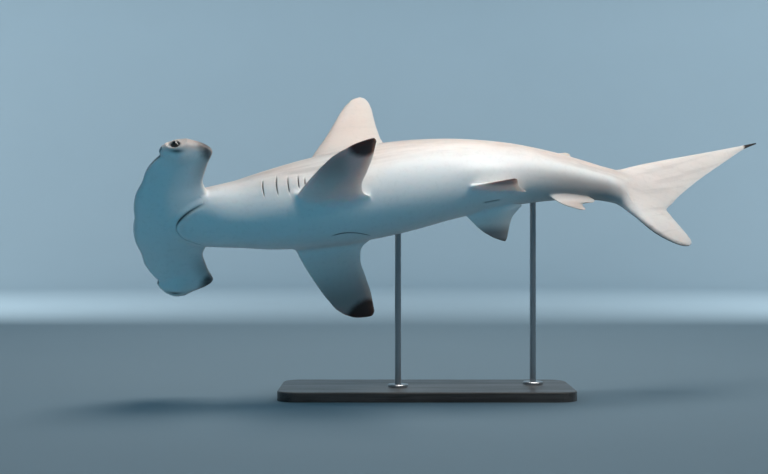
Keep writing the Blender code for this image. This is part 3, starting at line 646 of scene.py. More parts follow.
@dataclass(frozen=True)
class Eye:
    """An eye in the end of the head, with the lids round it."""

    side: Side
    at: tuple[float, float, float] = (0.0575, 0.1168, -0.0080)
    radius: float = 0.0067
    facing: tuple[float, float, float] = (-0.10, 0.94, -0.32)

    def centre(self) -> Array:
        """The middle of the eyeball."""
        return np.array(self.at) * (1, self.side.value, 1)

    def axis(self) -> Array:
        """The way the eye looks."""
        way = np.array(self.facing) * (1, self.side.value, 1)
        return way / np.linalg.norm(way)

    def cross(self) -> tuple[Array, Array]:
        """Forward and upward directions square to the axis."""
        axis = self.axis()
        ahead = np.array((-1.0, 0.0, 0.0)) - axis * -axis[0]
        ahead /= np.linalg.norm(ahead)
        up = np.cross(ahead, axis)
        return ahead, up * np.sign(up[2])

    def socket(self, rim: Array) -> Array:
        """Loops from the skin round the eye over the lids and in behind the eyeball.

        Formula: circles about the eye's axis, with radius and outward place from a table, which
        lean with the head's end, so that their lower sides stand further out. A point keeps its
        turn about the axis from the rim, and drifts to even turns inwards.

        Args:
            rim: the points of the hole's border, starting ahead of the eye and going over it.

        Returns:
            One row of points for each loop.
        """
        radius = np.array((0.0088, 0.0084, 0.0080, 0.0076, 0.0072, 0.0069, 0.0066, 0.0063, 0.0063,
                           0.0067, 0.0070, 0.0071, 0.0060, 0.0034))
        outward = np.array((0.0033, 0.0034, 0.0035, 0.0035, 0.0035, 0.0035, 0.0034, 0.0031, 0.0026,
                            0.0016, -0.0002, -0.0024, -0.0054, -0.0071))
        lean = np.array((0.28, 0.23, 0.18, 0.13, 0.08, 0.04, 0.02, 0, 0, 0, 0, 0, 0, 0))
        squash = np.array((1.0, 0.99, 0.98, 0.97, 0.96, 0.96, 0.96, 0.96, 0.97, 1, 1, 1, 1, 1))
        ahead, up = self.cross()
        off = rim - self.centre()
        turn = np.unwrap(np.arctan2(off @ up, off @ ahead))
        even = turn[0] + np.sign(turn[-1] - turn[0]) * np.arange(len(rim)) * 2 * math.pi / len(rim)
        drift = np.linspace(0.25, 1, len(radius))[:, None]
        turns = turn * (1 - drift) + even * drift
        ring = (np.cos(turns)[..., None] * ahead
                + (np.sin(turns) * squash[:, None])[..., None] * up)
        out = outward[:, None] - lean[:, None] * radius[:, None] * (np.sin(turns) + 0.45 * np.cos(turns))
        return self.centre() + ring * radius[:, None, None] + out[..., None] * self.axis()

    def ball(self, skin: "Skin") -> bpy.types.Object:
        """The eyeball, a sphere with a clear bulge over the iris.

        Formula: rows of circles about the axis, of radius sin(a) and place cos(a), pushed
        outwards by 5% of a bell about the axis.

        Args:
            skin: the skin whose spine the eye is bent with.

        Returns:
            The eye's object, whose attribute gaze holds the angle from the axis.
        """
        rows = np.linspace(0, math.pi, 41)[1:-1]
        turn = np.arange(64) * 2 * math.pi / 64
        ahead, up = self.cross()
        ring = np.cos(turn)[:, None] * ahead + np.sin(turn)[:, None] * up
        bulge = 1 + 0.03 * hump(rows, 0.0, 0.55)
        reach = (np.sin(rows)[:, None, None] * ring + np.cos(rows)[:, None, None] * self.axis())
        points = self.centre() + reach * (self.radius * bulge)[:, None, None]
        patch = Patchwork()
        loops = patch.add(points * TOTAL_LENGTH)
        patch.bands(loops)
        patch.fan(loops[0], (self.centre() + self.axis() * self.radius * 1.03) * TOTAL_LENGTH)
        patch.fan(loops[-1][::-1], (self.centre() - self.axis() * self.radius) * TOTAL_LENGTH)
        made = patch.build(f"eyeball_{self.side.name.lower()}")
        straight = read(made.data)
        off = straight / TOTAL_LENGTH - self.centre()
        off /= np.linalg.norm(off, axis=1)[:, None]
        flat = np.stack([off @ ahead, off @ up, off @ self.axis()], 1)
        add_marks(made.data, "gaze", flat)
        write(made.data, skin.spine.bend(straight))
        made.data.shade_smooth()
        return made


def add_marks(mesh: bpy.types.Mesh, name: str, rows: Array) -> None:
    """Stores three numbers for each vertex, which a material reads by name."""
    kept = mesh.attributes.new(name, "FLOAT_VECTOR", "POINT")
    kept.data.foreach_set("vector", np.ascontiguousarray(rows, np.float32).ravel())


@dataclass(frozen=True)
class Fin:
    """A fin: its front and rear edges from the root out to the tip, and its thickness.

    A point of it has a place along the body, a reach from the body and a height off its plane.
    """

    name: str
    at: tuple[float, ...]
    front: tuple[float, ...]
    rear: tuple[float, ...]
    half_thick: tuple[float, ...]
    loops: int = 40
    across: int = 8
    fillet: float = 0.005
    margin: float = 0.008
    blunt: float = 0.00028
    rounded: float = 0.06
    corner: float = 0.022

    def edge(self, at: Array, front: bool) -> tuple[Array, Array]:
        """Along and reach of the front or rear edge at these places from the root."""
        return curve(at, self.at, self.front if front else self.rear), at

    def body_reach(self, along: Array, body: "Skin") -> Array:
        """The reach at which the fin's plane meets the body."""
        raise NotImplementedError

    def place(self, along: Array, reach: Array, half: Array) -> Array:
        """The straight point of a point of the fin."""
        raise NotImplementedError

    def clear(self, along: Array, reach: Array, body: "Skin") -> Array:
        """How far a point of the fin stands off the body."""
        return reach - self.body_reach(along, body)

    def track(self, body: "Skin", front: bool) -> tuple[Array, Array, Array]:
        """One edge of the fin at even steps of its length, from the body out to the tip.

        Formula: the edge is read at 3000 places, cut where it stands a fillet clear of the
        body, and read again at even shares of its summed length, closer at the tip.

        Args:
            body: the skin that the fin grows from.
            front: the front edge, or else the rear.

        Returns:
            Place from the root, along and reach, one for each loop.
        """
        at = np.linspace(self.at[0], self.at[-1], 3000)
        along, reach = self.edge(at, front)
        off = self.clear(along, reach, body) - (self.fillet if front else 0.45 * self.fillet)
        first = int(np.flatnonzero(off < 0).max()) + 1 if (off < 0).any() else 0
        at, along, reach = at[first:], along[first:], reach[first:]
        length = np.concatenate([[0], np.cumsum(np.hypot(np.diff(along), np.diff(reach)))])
        even = np.linspace(0, 1, self.loops)
        even = even + 0.10 * np.sin(math.pi * even) * even
        target = even / even[-1] * length[-1]
        return (np.interp(target, length, at), np.interp(target, length, along),
                np.interp(target, length, reach))

    def surface(self, body: "Skin", rows: Array) -> Array:
        """Loops of points round the fin, from just above the body to the tip.

        Formula: a chord runs from the front track to the rear one in each loop. Its half
        thickness is that of the reach times the wing section 2.969 r - 1.26 c - 3.516 c^2 +
        2.843 c^3 - 1.036 c^4, with r the root of the share c of the chord. The first loops bow
        to follow the body, and the last ones shrink to round the tip.

        Args:
            body: the skin that the fin grows from.
            rows: places of the hole's side rows, as rising shares from 0 to 1.

        Returns:
            One row of points for each loop, starting at the front edge and going over the
            side of rising height.
        """
        tip = self.across // 2
        nose = self.corner * (np.arange(tip) / tip) ** 2
        stern = 1 - self.corner * (np.arange(tip)[::-1] / tip) ** 2
        even = np.linspace(0, 1, len(rows))
        even = even - 0.10 * np.sin(math.pi * even) * (1 - even)
        side = self.corner + (1 - 2 * self.corner) * (0.6 * rows + 0.4 * even)
        share = np.concatenate([nose, side, stern])
        at_f, along_f, reach_f = self.track(body, True)
        at_r, along_r, reach_r = self.track(body, False)
        along = along_f[:, None] + (along_r - along_f)[:, None] * share
        reach = reach_f[:, None] + (reach_r - reach_f)[:, None] * share
        level = self.body_reach(along[0], body)
        stand = self.fillet * (1 - 0.55 * share)
        bow = level + stand - reach[0]
        out = np.linspace(0, 1, self.loops)[:, None]
        reach = reach + (bow - bow[0] * (1 - share) - bow[-1] * share) * (1 - out) ** 3
        at = at_f[:, None] + (at_r - at_f)[:, None] * share
        near = np.clip((out - (1 - self.rounded)) / self.rounded, 0, 1)
        shrink = np.sqrt(1 - 0.90 * near**2)
        middle = along[:, len(share) // 2, None]
        middle_reach = reach[:, len(share) // 2, None]
        along = middle + (along - middle) * shrink
        reach = middle_reach + (reach - middle_reach) * shrink
        wing = (2.969 * np.sqrt(share) - 1.26 * share - 3.516 * share**2 + 2.843 * share**3
                - 1.036 * share**4)
        thick = curve(at, self.at, self.half_thick)
        half = thick * wing * np.sqrt(shrink)
        floor = self.blunt * np.minimum(1.0, thick / 0.002) * np.sin(np.pi * np.clip(share, 0, 1)) ** 0.25
        half = np.maximum(half, floor)
        half[:, [0, -1]] = 0.0
        over = self.place(along, reach, half)
        under = self.place(along, reach, -half)[:, -2:0:-1]
        return np.concatenate([over, under], 1)


@dataclass(frozen=True)
class MiddleFin(Fin):
    """A fin on the middle line, above the back (1) or below the belly (-1)."""

    up: int = 1

    def body_reach(self, along: Array, body: "Skin") -> Array:
        """The trunk's half height."""
        return body.trunk.high(along)

    def place(self, along: Array, reach: Array, half: Array) -> Array:
        """x is the place along, y the height off the plane and z the reach."""
        return np.stack([along, half, self.up * reach], -1)


@dataclass(frozen=True)
class PairedFin(Fin):
    """A fin on one side, from a root on the flank, hanging by a droop angle.

    The reaches of its front and rear edges are shares of the span. slant says how far the root
    leans inwards and downwards for each step tailward, and trail shifts the edges tailward
    towards the tip.
    """

    front_reach: tuple[float, ...] = ()
    rear_reach: tuple[float, ...] = ()
    side: Side = Side.RIGHT
    root: tuple[float, float, float] = (0.0, 0.0, 0.0)
    span: float = 0.1
    droop: float = 0.0
    slant: tuple[float, float] = (0.0, 0.0)
    trail: float = 0.0

    def edge(self, at: Array, front: bool) -> tuple[Array, Array]:
        """Along and reach of the front or rear edge, shifted by the trail."""
        out = np.clip(at, 0, 1)
        shape = curve(at, self.at, self.front if front else self.rear)
        reach = curve(at, self.at, self.front_reach if front else self.rear_reach)
        return shape + self.trail * (out**6 if front else out), reach * self.span

    def cross(self, along: Array, reach: Array, half: Array) -> tuple[Array, Array]:
        """y and z: the root, moved out by the reach and off the plane by the height, less the
        slant, which fades out along the span."""
        angle = math.radians(self.droop)
        lean = along * (1 - np.clip(reach / self.span, 0, 1))
        y = self.root[1] + reach * math.cos(angle) + half * math.sin(angle) - self.slant[0] * lean
        z = self.root[2] - reach * math.sin(angle) + half * math.cos(angle) - self.slant[1] * lean
        return y, z

    def body_reach(self, along: Array, body: "Skin") -> Array:
        """The reach at which the middle plane crosses the trunk, by 40 halvings."""
        low, high = np.full(np.shape(along), -0.5 * self.span), np.full(np.shape(along), 0.5 * self.span)
        wide, tall = body.trunk.wide(self.root[0] + along), body.trunk.high(self.root[0] + along)
        for _ in range(40):
            reach = (low + high) / 2
            y, z = self.cross(along, reach, 0.0)
            inside = (y / wide) ** 2 + (z / tall) ** 2 < 1
            low, high = np.where(inside, reach, low), np.where(inside, high, reach)
        return (low + high) / 2

    def place(self, along: Array, reach: Array, half: Array) -> Array:
        """The straight point, on this fin's side."""
        y, z = self.cross(along, reach, half)
        return np.stack([self.root[0] + along, self.side.value * y, z], -1)

    def root_angle(self, along: Array, body: "Skin") -> Array:
        """Turn of the root on the trunk, in degrees below the flank's middle as a negative."""
        y, z = self.cross(along, self.body_reach(along, body), 0.0)
        x = self.root[0] + along
        return np.degrees(np.arctan2(z / body.trunk.high(x), y / body.trunk.wide(x)))


@dataclass(frozen=True)
class TailFin:
    """The tail fin: the upper lobe runs on from the trunk, and the lower one hangs from it."""

    at: tuple[float, ...] = (0.0, 0.10, 0.20, 0.30, 0.45, 0.62, 0.80, 0.92, 1.0)
    top_x: tuple[float, ...] = (0.7165, 0.7350, 0.7620, 0.7900, 0.8350, 0.8850, 0.9400, 0.9770, 1.0010)
    top_z: tuple[float, ...] = (0.0300, 0.0402, 0.0552, 0.0692, 0.0900, 0.1100, 0.1295, 0.1412, 0.1486)
    low_x: tuple[float, ...] = (0.7165, 0.7430, 0.7700, 0.7960, 0.8280, 0.8720, 0.9280, 0.9760, 1.0016)
    low_z: tuple[float, ...] = (-0.0300, -0.0300, -0.0270, -0.0216, 0.0105, 0.0520, 0.0972, 0.1332,
                                0.1464)
    half_thick: tuple[float, ...] = (0.0185, 0.0140, 0.0105, 0.0078, 0.0054, 0.0040, 0.0028, 0.0018,
                                     0.0007)
    roundness: tuple[float, ...] = (1.0, 0.9, 0.6, 0.35, 0.1, 0.0, 0.0, 0.0, 0.0)
    rings: int = 60

    def upper(self, sides: int) -> Array:
        """Rings of the upper lobe.

        Formula: the chord from its top edge to its low edge is read at (1 - sin t) / 2, and the
        half thickness mixes an ellipse 2 sqrt(c (1 - c)) and the wing section by roundness.

        Args:
            sides: points in a ring.

        Returns:
            One row for each ring after the trunk's last, turned as the trunk's rings are.
        """
        at = spread(0, 1, self.rings, 1 + 0.8 * hump(np.linspace(0, 1, 4001), 0.0, 0.25)
                    + 1.5 * hump(np.linspace(0, 1, 4001), 1.0, 0.03))[1:]
        turn = np.arange(sides) * 2 * math.pi / sides
        share = (1 - np.sin(turn)) / 2
        top = np.stack([curve(at, self.at, self.top_x), curve(at, self.at, self.top_z)], 1)
        low = np.stack([curve(at, self.at, self.low_x), curve(at, self.at, self.low_z)], 1)
        plan = top[:, None] + (low - top)[:, None] * share[None, :, None]
        wing = (2.969 * np.sqrt(share) - 1.26 * share - 3.516 * share**2 + 2.843 * share**3
                - 1.036 * share**4)
        mix = curve(at, self.at, self.roundness)[:, None]
        shape = (1 - mix) * wing + mix * 2 * np.sqrt(np.clip(share * (1 - share), 0, 1))
        thick = curve(at, self.at, self.half_thick)[:, None]
        half = np.maximum(thick * shape, 0.00028 * np.minimum(1, thick / 0.002))
        side = np.cos(turn)
        side[np.abs(side) < 1e-9] = 0.0
        return np.stack([plan[..., 0], half * np.sign(side), plan[..., 1]], -1)


@dataclass(frozen=True)
class LowerLobe(Fin):
    """The lower lobe of the tail fin, whose edges are given as x and z."""

    front_z: tuple[float, ...] = ()
    rear_z: tuple[float, ...] = ()
    tail: TailFin = field(default_factory=TailFin)

    def edge(self, at: Array, front: bool) -> tuple[Array, Array]:
        """Along and reach, which here is the depth below the middle line."""
        xs, zs = (self.front, self.front_z) if front else (self.rear, self.rear_z)
        return curve(at, self.at, xs), -curve(at, self.at, zs)

    def body_reach(self, along: Array, body: "Skin") -> Array:
        """Depth of the upper lobe's low edge."""
        at = np.linspace(0, 1, 2000)
        x, z = curve(at, self.tail.at, self.tail.low_x), curve(at, self.tail.at, self.tail.low_z)
        return np.interp(along, x, -z)

    def place(self, along: Array, reach: Array, half: Array) -> Array:
        """x is the place along, y the height off the plane and z the depth."""
        return np.stack([along, half, -reach], -1)


PECTORAL_AT = (-0.35, -0.16, -0.07, -0.015, 0.06, 0.22, 0.47, 0.69, 0.86, 0.93, 0.97, 1.0)
PECTORAL_FRONT = (-0.0080, -0.0050, -0.0030, -0.0010, 0.0018, 0.0090, 0.0223, 0.0358, 0.0500,
                  0.0610, 0.0745, 0.0935)
PECTORAL_FRONT_REACH = (-0.35, -0.16, -0.07, -0.015, 0.06, 0.22, 0.47, 0.69, 0.86, 0.932, 0.985,
                        1.006)
PECTORAL_REAR = (0.0700, 0.0820, 0.0945, 0.1025, 0.0930, 0.0874, 0.0924, 0.0974, 0.0992, 0.0999,
                 0.1003, 0.1004)
PECTORAL_REAR_REACH = (-0.35, -0.16, -0.07, -0.015, 0.06, 0.22, 0.47, 0.68, 0.84, 0.900, 0.940,
                       0.970)
PECTORAL_THICK = (0.0088, 0.0090, 0.0088, 0.0086, 0.0080, 0.0070, 0.0054, 0.0040, 0.0028, 0.0020,
                  0.0014, 0.0007)
PELVIC_AT = (-0.50, -0.22, -0.08, 0.05, 0.25, 0.47, 0.74, 0.90, 1.0)
PELVIC_FRONT = (-0.0060, -0.0030, -0.0010, 0.0015, 0.0085, 0.0168, 0.0320, 0.0460, 0.0600)
PELVIC_REAR = (0.0400, 0.0520, 0.0830, 0.0800, 0.0720, 0.0688, 0.0666, 0.0655, 0.0640)
PELVIC_THICK = (0.0050, 0.0046, 0.0044, 0.0042, 0.0036, 0.0030, 0.0020, 0.0012, 0.0006)


def pectoral(side: Side) -> PairedFin:
    """The pectoral fin of one side."""
    left = side is Side.LEFT
    return PairedFin(
        name=f"pectoral_fin_{side.name.lower()}", at=PECTORAL_AT, front=PECTORAL_FRONT,
        rear=PECTORAL_REAR, half_thick=PECTORAL_THICK, front_reach=PECTORAL_FRONT_REACH,
        rear_reach=PECTORAL_REAR_REACH, side=side,
        root=(0.2240 if left else 0.2185, 0.0497, -0.0332), span=0.1331 if left else 0.1335,
        droop=16.5 if left else 24.0, slant=(0.05, 0.16), trail=0.0090 if left else -0.0025,
        loops=56, across=10, fillet=0.0060, margin=0.0065)


def pelvic(side: Side) -> PairedFin:
    """The pelvic fin of one side."""
    left = side is Side.LEFT
    return PairedFin(
        name=f"pelvic_fin_{side.name.lower()}", at=PELVIC_AT, front=PELVIC_FRONT, rear=PELVIC_REAR,
        half_thick=PELVIC_THICK, front_reach=PELVIC_AT, rear_reach=PELVIC_AT, side=side,
        root=(0.4665, 0.0285, -0.0500), span=0.0415,
        droop=38.5 if left else 36.0, slant=(0.16, 0.03), trail=-0.0110 if left else 0.0,
        loops=34, across=6, fillet=0.0026, margin=0.0040)


def middle_fins() -> tuple[MiddleFin, ...]:
    """The first dorsal, second dorsal and anal fins."""
    return (
        MiddleFin(
            name="first_dorsal_fin", loops=50, across=8, fillet=0.0060, margin=0.0085, rounded=0.09,
            at=(0.045, 0.066, 0.0735, 0.0800, 0.0935, 0.121, 0.149, 0.1725, 0.1890, 0.1975, 0.2000),
            front=(0.244, 0.2535, 0.2580, 0.2632, 0.2735, 0.2960, 0.3160, 0.3315, 0.3455, 0.3565,
                   0.3650),
            rear=(0.350, 0.3540, 0.3860, 0.3850, 0.3770, 0.3742, 0.3752, 0.3762, 0.3742, 0.3702,
                  0.3668),
            half_thick=(0.0085, 0.0078, 0.0074, 0.0070, 0.0064, 0.0053, 0.0042, 0.0032, 0.0022,
                        0.0014, 0.0006)),
        MiddleFin(
            name="second_dorsal_fin", loops=26, across=6, fillet=0.0022, margin=0.0036,
            at=(0.026, 0.0385, 0.0410, 0.0445, 0.0500, 0.0530, 0.0545),
            front=(0.604, 0.6120, 0.6155, 0.6205, 0.6290, 0.6365, 0.6430),
            rear=(0.640, 0.6710, 0.6680, 0.6535, 0.6500, 0.6495, 0.6470),
            half_thick=(0.0030, 0.0028, 0.0026, 0.0022, 0.0015, 0.0010, 0.0006)),
        MiddleFin(
            name="anal_fin", up=-1, loops=28, across=6, fillet=0.0022, margin=0.0036,
            at=(0.026, 0.0400, 0.0440, 0.0500, 0.0565, 0.0615, 0.0640),
            front=(0.580, 0.5880, 0.5925, 0.5985, 0.6070, 0.6200, 0.6350),
            rear=(0.642, 0.6680, 0.6640, 0.6460, 0.6445, 0.6465, 0.6450),
            half_thick=(0.0034, 0.0032, 0.0029, 0.0025, 0.0018, 0.0012, 0.0006)),
    )


def lower_lobe() -> LowerLobe:
    """The lower lobe of the tail fin."""
    return LowerLobe(
        name="caudal_lower_lobe", loops=40, across=44, fillet=0.0120, margin=0.0100, corner=0.15,
        at=(0.0, 0.25, 0.45, 0.65, 0.82, 0.93, 1.0),
        front=(0.7190, 0.7210, 0.7370, 0.7633, 0.7900, 0.8075, 0.8180),
        front_z=(-0.0150, -0.0385, -0.0530, -0.0755, -0.0870, -0.0900, -0.0895),
        rear=(0.7850, 0.7985, 0.8060, 0.8155, 0.8245, 0.8275, 0.8240),
        rear_z=(-0.0150, -0.0270, -0.0390, -0.0540, -0.0690, -0.0790, -0.0860),
        half_thick=(0.0100, 0.0086, 0.0066, 0.0046, 0.0030, 0.0018, 0.0008))


@dataclass
class Skin:
    """The whole skin of the shark, from the snout to the tips of its fins."""

    spine: Spine = field(default_factory=Spine)
    trunk: Trunk = field(default_factory=Trunk)
    head: Head = field(default_factory=Head)
    gills: Gills = field(default_factory=Gills)
    mouth: Mouth = field(default_factory=Mouth)
    tail: TailFin = field(default_factory=TailFin)
    nostrils: Nostrils = field(default_factory=Nostrils)
    vent: tuple[float, float] = (0.489, 0.513)

    def __post_init__(self) -> None:
        """Sets up the parts that the skin is woven from."""
        self.patch = Patchwork()
        self.fins: list[Fin] = [*middle_fins(), lower_lobe()]
        self.fins += [make(side) for make in (pectoral, pelvic) for side in Side]
        self.eyes = [Eye(side) for side in Side]

    def stations(self) -> Array:
        """Where the trunk's rings stand: even steps, with many more at each gill slit."""
        fine = np.linspace(self.trunk.start, self.trunk.end, 4001)
        density = 1 / self.trunk.step + 0 * fine
        for at in self.gills.at:
            density = density + 2700 * hump(fine, at, 0.0014)
        density = density + 300 * hump(fine, self.trunk.pit_at, 0.010)
        count = round(float(density.mean()) * (self.trunk.end - self.trunk.start))
        return spread(self.trunk.start, self.trunk.end, count, density)

    def turned(self, x: Array, turn: Array) -> Array:
        """Turns of the trunk's points, shifted so that columns run along the slanted roots.

        Formula: turn + shift(x) (1 + cos(pi d / w)) / 2, with d the distance in turn from the
        fin's column and w the width over which it fades.

        Args:
            x: places along the body, one for each ring.
            turn: even turns in radians, one for each column.

        Returns:
            Turns for each ring and column.
        """
        turns = np.broadcast_to(turn, (len(x), len(turn))).copy()
        for fin in self.fins:
            if not isinstance(fin, PairedFin):
                continue
            first, last = fin.root[0], fin.root[0] + float(fin.track(self, False)[1][0])
            ends = fin.root_angle(np.array((0.0, last - first)), self)
            base = self.column_angle(fin)
            shift = np.interp(x, (first - 0.05, first, last, last + 0.05),
                              (0.0, ends[0] - base, ends[1] - base, 0.0))
            sign = fin.side.value
            centre = math.radians(base if sign > 0 else 180 - base)
            gap = (turn - centre + math.pi) % (2 * math.pi) - math.pi
            width = math.radians(34.0)
            fade = np.where(np.abs(gap) < width, 0.5 + 0.5 * np.cos(math.pi * gap / width), 0.0)
            turns += sign * np.radians(shift)[:, None] * fade
        return turns

    def column_angle(self, fin: PairedFin) -> float:
        """The even column nearest to the middle of a paired fin's root, in degrees."""
        step = 360 / self.trunk.sides
        return round(float(fin.root_angle(np.array(0.04 if fin.span > 0.1 else 0.03), self)) / step) * step

    def weave_head(self) -> tuple[Array, Array]:
        """Lays the head's upper and lower surfaces, which share their front and side edges.

        Returns:
            Point numbers of the upper and lower rear border within the neck, from the left.
        """
        v = self.head.columns(self.trunk.sides)
        rows = self.head.rows
        even = (1 - np.cos(np.linspace(0, math.pi, rows + 1))) / 2
        even = 0.75 * even + 0.25 * np.linspace(0, 1, rows + 1)
        upper_share = np.broadcast_to(even, (len(v), rows + 1))
        front, rear = self.head.outline(v)
        line = self.mouth.line(np.abs(v) * self.head.front_y[-1])
        target = np.clip((line - front[:, 0]) / (rear[:, 0] - front[:, 0] + 1e-9), 0.3, 0.92)
        pull = ramp(-np.abs(v), -0.40, -0.28)
        lower_share = np.stack([
            spread(0, 1, rows, self.row_density(float(c), float(p))) for c, p in zip(target, pull)])
        lower_share = lower_share * pull[:, None] + upper_share * (1 - pull[:, None])
        upper = self.head.half(v, upper_share, self.trunk, 1)
        lower = self.head.half(v, lower_share, self.trunk, -1)
        top = self.patch.add(upper)
        low = self.patch.add(lower)
        low[:, 0] = top[:, 0]
        first, last = self.head.outer, self.head.outer + self.trunk.sides // 2
        low[: first + 1, -1] = top[: first + 1, -1]
        low[last:, -1] = top[last:, -1]
        for end in (0, -1):
            top[end] = top[end, 0]
            low[end] = top[end, 0]
        kept = np.ones((2, len(v) - 1, rows), bool)
        for eye in self.eyes:
            self.set_eye(eye, v, top, low, kept)
        self.patch.sheet(top[1:-1], kept[0, 1:-1])
        self.patch.sheet(low[1:-1], kept[1, 1:-1])
        for pole, near in ((0, 1), (-1, -2)):
            loop = np.concatenate([top[near], low[near][-2:0:-1]])
            self.patch.triangles.append(
                np.stack([loop, np.roll(loop, -1), np.full(len(loop), top[pole, 0])], 1))
        near_neck = hump(np.abs(v), self.head.neck, 0.13)
        for side in (top, low):
            for k in np.flatnonzero(near_neck > 0.05):
                self.patch.soften(side[k, -14:], float(near_neck[k]))
        return top[first: last + 1, -1], low[first: last + 1, -1]

    def row_density(self, centre: float, pull: float) -> Array:
        """How close the rows stand from the front edge to the rear edge of the underside."""
        fine = np.linspace(0, 1, 4001)
        ends = 0.6 / np.sqrt(np.clip(fine * (1 - fine), 0.0015, 1))
        return 0.6 + ends + pull * 9.0 * hump(fine, centre, 0.020)

    def set_eye(self, eye: Eye, v: Array, top: Array, low: Array, kept: Array) -> None:
        """Opens the head's end and sets a socket into it.

        Args:
            eye: the eye.
            v: the head's columns.
            top: point numbers of the upper surface.
            low: point numbers of the lower surface.
            kept: which faces of the upper and of the lower surface stay, changed here.
        """
        edge = curve(np.abs(v), self.head.at, self.head.front_x)
        on_side = (np.sign(v) == eye.side.value) & (np.abs(v) > 0.88)
        chosen = np.flatnonzero(on_side & (np.abs(edge - eye.at[0] + 0.0022) < 0.0118))
        inner, outer = (chosen[0], chosen[-1]) if eye.side is Side.RIGHT else (chosen[-1], chosen[0])
        step = 1 if outer > inner else -1
        deep, down = 12, 17
        along = np.arange(inner, outer + step, step)
        rim = np.concatenate([
            top[inner, : deep + 1], top[along[1:], deep], top[outer, :deep][::-1],
            low[outer, 1: down + 1], low[along[:-1][::-1], down], low[inner, 1:down][::-1]])
        kept[0, min(inner, outer): max(inner, outer), :deep] = False
        kept[1, min(inner, outer): max(inner, outer), :down] = False
        points = self.patch.points()[rim]
        loops = eye.socket(points)
        t = np.linspace(0, 1, 7)[1:-1, None, None]
        outside = points - eye.centre()
        outside -= (outside @ eye.axis())[:, None] * eye.axis()
        pull = -outside / np.linalg.norm(outside, axis=1)[:, None]
        gap = np.linalg.norm(loops[0] - points, axis=1)[:, None]
        leave, arrive = pull * gap, (loops[1] - loops[0])
        arrive = arrive / np.linalg.norm(arrive, axis=1)[:, None] * gap
        between = ((2 * t**3 - 3 * t**2 + 1) * points + (t**3 - 2 * t**2 + t) * leave
                   + (3 * t**2 - 2 * t**3) * loops[0] + (t**3 - t**2) * arrive)
        laid = self.patch.add(np.concatenate([between, loops]))
        self.patch.bands(np.concatenate([rim[None], laid]))
        self.patch.soften(rim, 0.6)
        self.patch.soften(laid[:6], 0.7)
        cap = slice(1, 9) if eye.side is Side.LEFT else slice(-9, -1)
        self.patch.soften(top[cap, :26], 0.7)
        self.patch.soften(low[cap, :26], 0.7)
        self.patch.fan(laid[-1], loops[-1].mean(0) - 0.0004 * eye.axis())

    def weave_trunk(self, upper: Array, lower: Array) -> tuple[Array, Array]:
        """Lays the rings of the trunk and of the tail fin's upper lobe.

        Formula: between the head's rear border and the first whole ring, each point's x runs
        evenly, and what the border stands off the trunk's ellipse fades as (1 - t)^2.

        Args:
            upper: the head's upper rear border, from the left.
            lower: the head's lower rear border, from the left.

        Returns:
            Point numbers by ring and column, and the x of each ring.
        """
        sides = self.trunk.sides
        border = np.concatenate([upper[::-1], lower[1:-1]])
        turn = np.arange(sides) * 2 * math.pi / sides
        start = self.patch.points()[border]
        steps = 15
        t = np.linspace(0, 1, steps + 1)[1:-1, None]
        x = start[:, 0] + (self.trunk.start - start[:, 0]) * t
        off = start - self.trunk.place(start[:, 0], turn)
        collar = self.trunk.place(x, turn) + off * (1 - t[..., None]) ** 2
        collar[..., 0] = x
        stations = self.stations()
        turns = self.turned(stations, turn)
        angle = np.degrees(np.abs((turns + math.pi / 2) % (2 * math.pi) - math.pi)) - 90
        places = np.broadcast_to(stations[:, None], turns.shape)
        body = self.trunk.place(places - self.gills.lean(places, -angle), turns)
        lobe = self.tail.upper(sides)
        laid = self.patch.add(np.concatenate([collar, body, lobe]))
        grid = np.concatenate([border[None], laid])
        rings = np.concatenate([[0.11], t[:, 0] * 0.04 + 0.11, stations,
                                lobe[:, 3 * sides // 4, 0]])
        self.patch.soften(grid[:10, : sides // 10], 0.8)
        self.patch.soften(grid[:10, -sides // 10:], 0.8)
        self.patch.soften(grid[:10, sides // 2 - sides // 10: sides // 2 + sides // 10], 0.8)
        joint = len(grid) - len(lobe) - 1
        self.patch.soften(grid[joint - 3: joint + 6], 0.5)
        return grid, rings

    def stitch(self, fin: Fin, grid: Array, rings: Array, kept: Array) -> None:
        """Opens the body and sets a fin into it, with a rounded fillet all round.

        Formula: each point of the hole's border is joined to the fin's first loop by a cubic
        Hermite line, which leaves along the body and arrives along the fin.

        Args:
            fin: the fin.
            grid: the body's point numbers by ring and column.
            rings: the x of each ring.
            kept: which of the body's faces stay, changed here.
        """
        sides = self.trunk.sides
        offset = fin.root[0] if isinstance(fin, PairedFin) else 0.0
        first = offset + float(fin.track(self, True)[1][0]) - fin.margin
        last = offset + float(fin.track(self, False)[1][0]) + 0.6 * fin.margin
        if isinstance(fin, PairedFin):
            base = self.column_angle(fin) * fin.side.value + (0 if fin.side is Side.RIGHT else 180)
            middle, turn = round(base / 360 * sides) % sides, fin.side.value
        else:
            over = isinstance(fin, MiddleFin) and fin.up > 0
            middle, turn = (sides // 4, -1) if over else (3 * sides // 4, 1)
        i0 = int(np.searchsorted(rings, first)) - 1
        i1 = int(np.searchsorted(rings, last))
        half = fin.across // 2
        rows = np.arange(i0, i1 + 1)
        out = np.arange(half + 1) * turn
        pairs = [(i0, middle + k) for k in out] + [(i, middle + out[-1]) for i in rows[1:]]
        pairs += [(i1, middle + k) for k in out[::-1][1:]] + [(i1, middle - k) for k in out[1:]]
        pairs += [(i, middle - out[-1]) for i in rows[::-1][1:]]
        pairs += [(i0, middle - k) for k in out[::-1][1:-1]]
        ring, column = np.array(pairs).T
        rim = grid[ring, column % sides]
        side = (column - middle) * turn
        back = (ring == i1).astype(int) - (ring == i0)
        sideways = np.where(side == half, turn, np.where(side == -half, -turn, 0))
        outer = grid[ring + back, (column + sideways) % sides]
        faces = np.arange(middle - half, middle + half) % sides
        kept[np.ix_(np.arange(i0, i1), faces)] = False
        where = rings[rows]
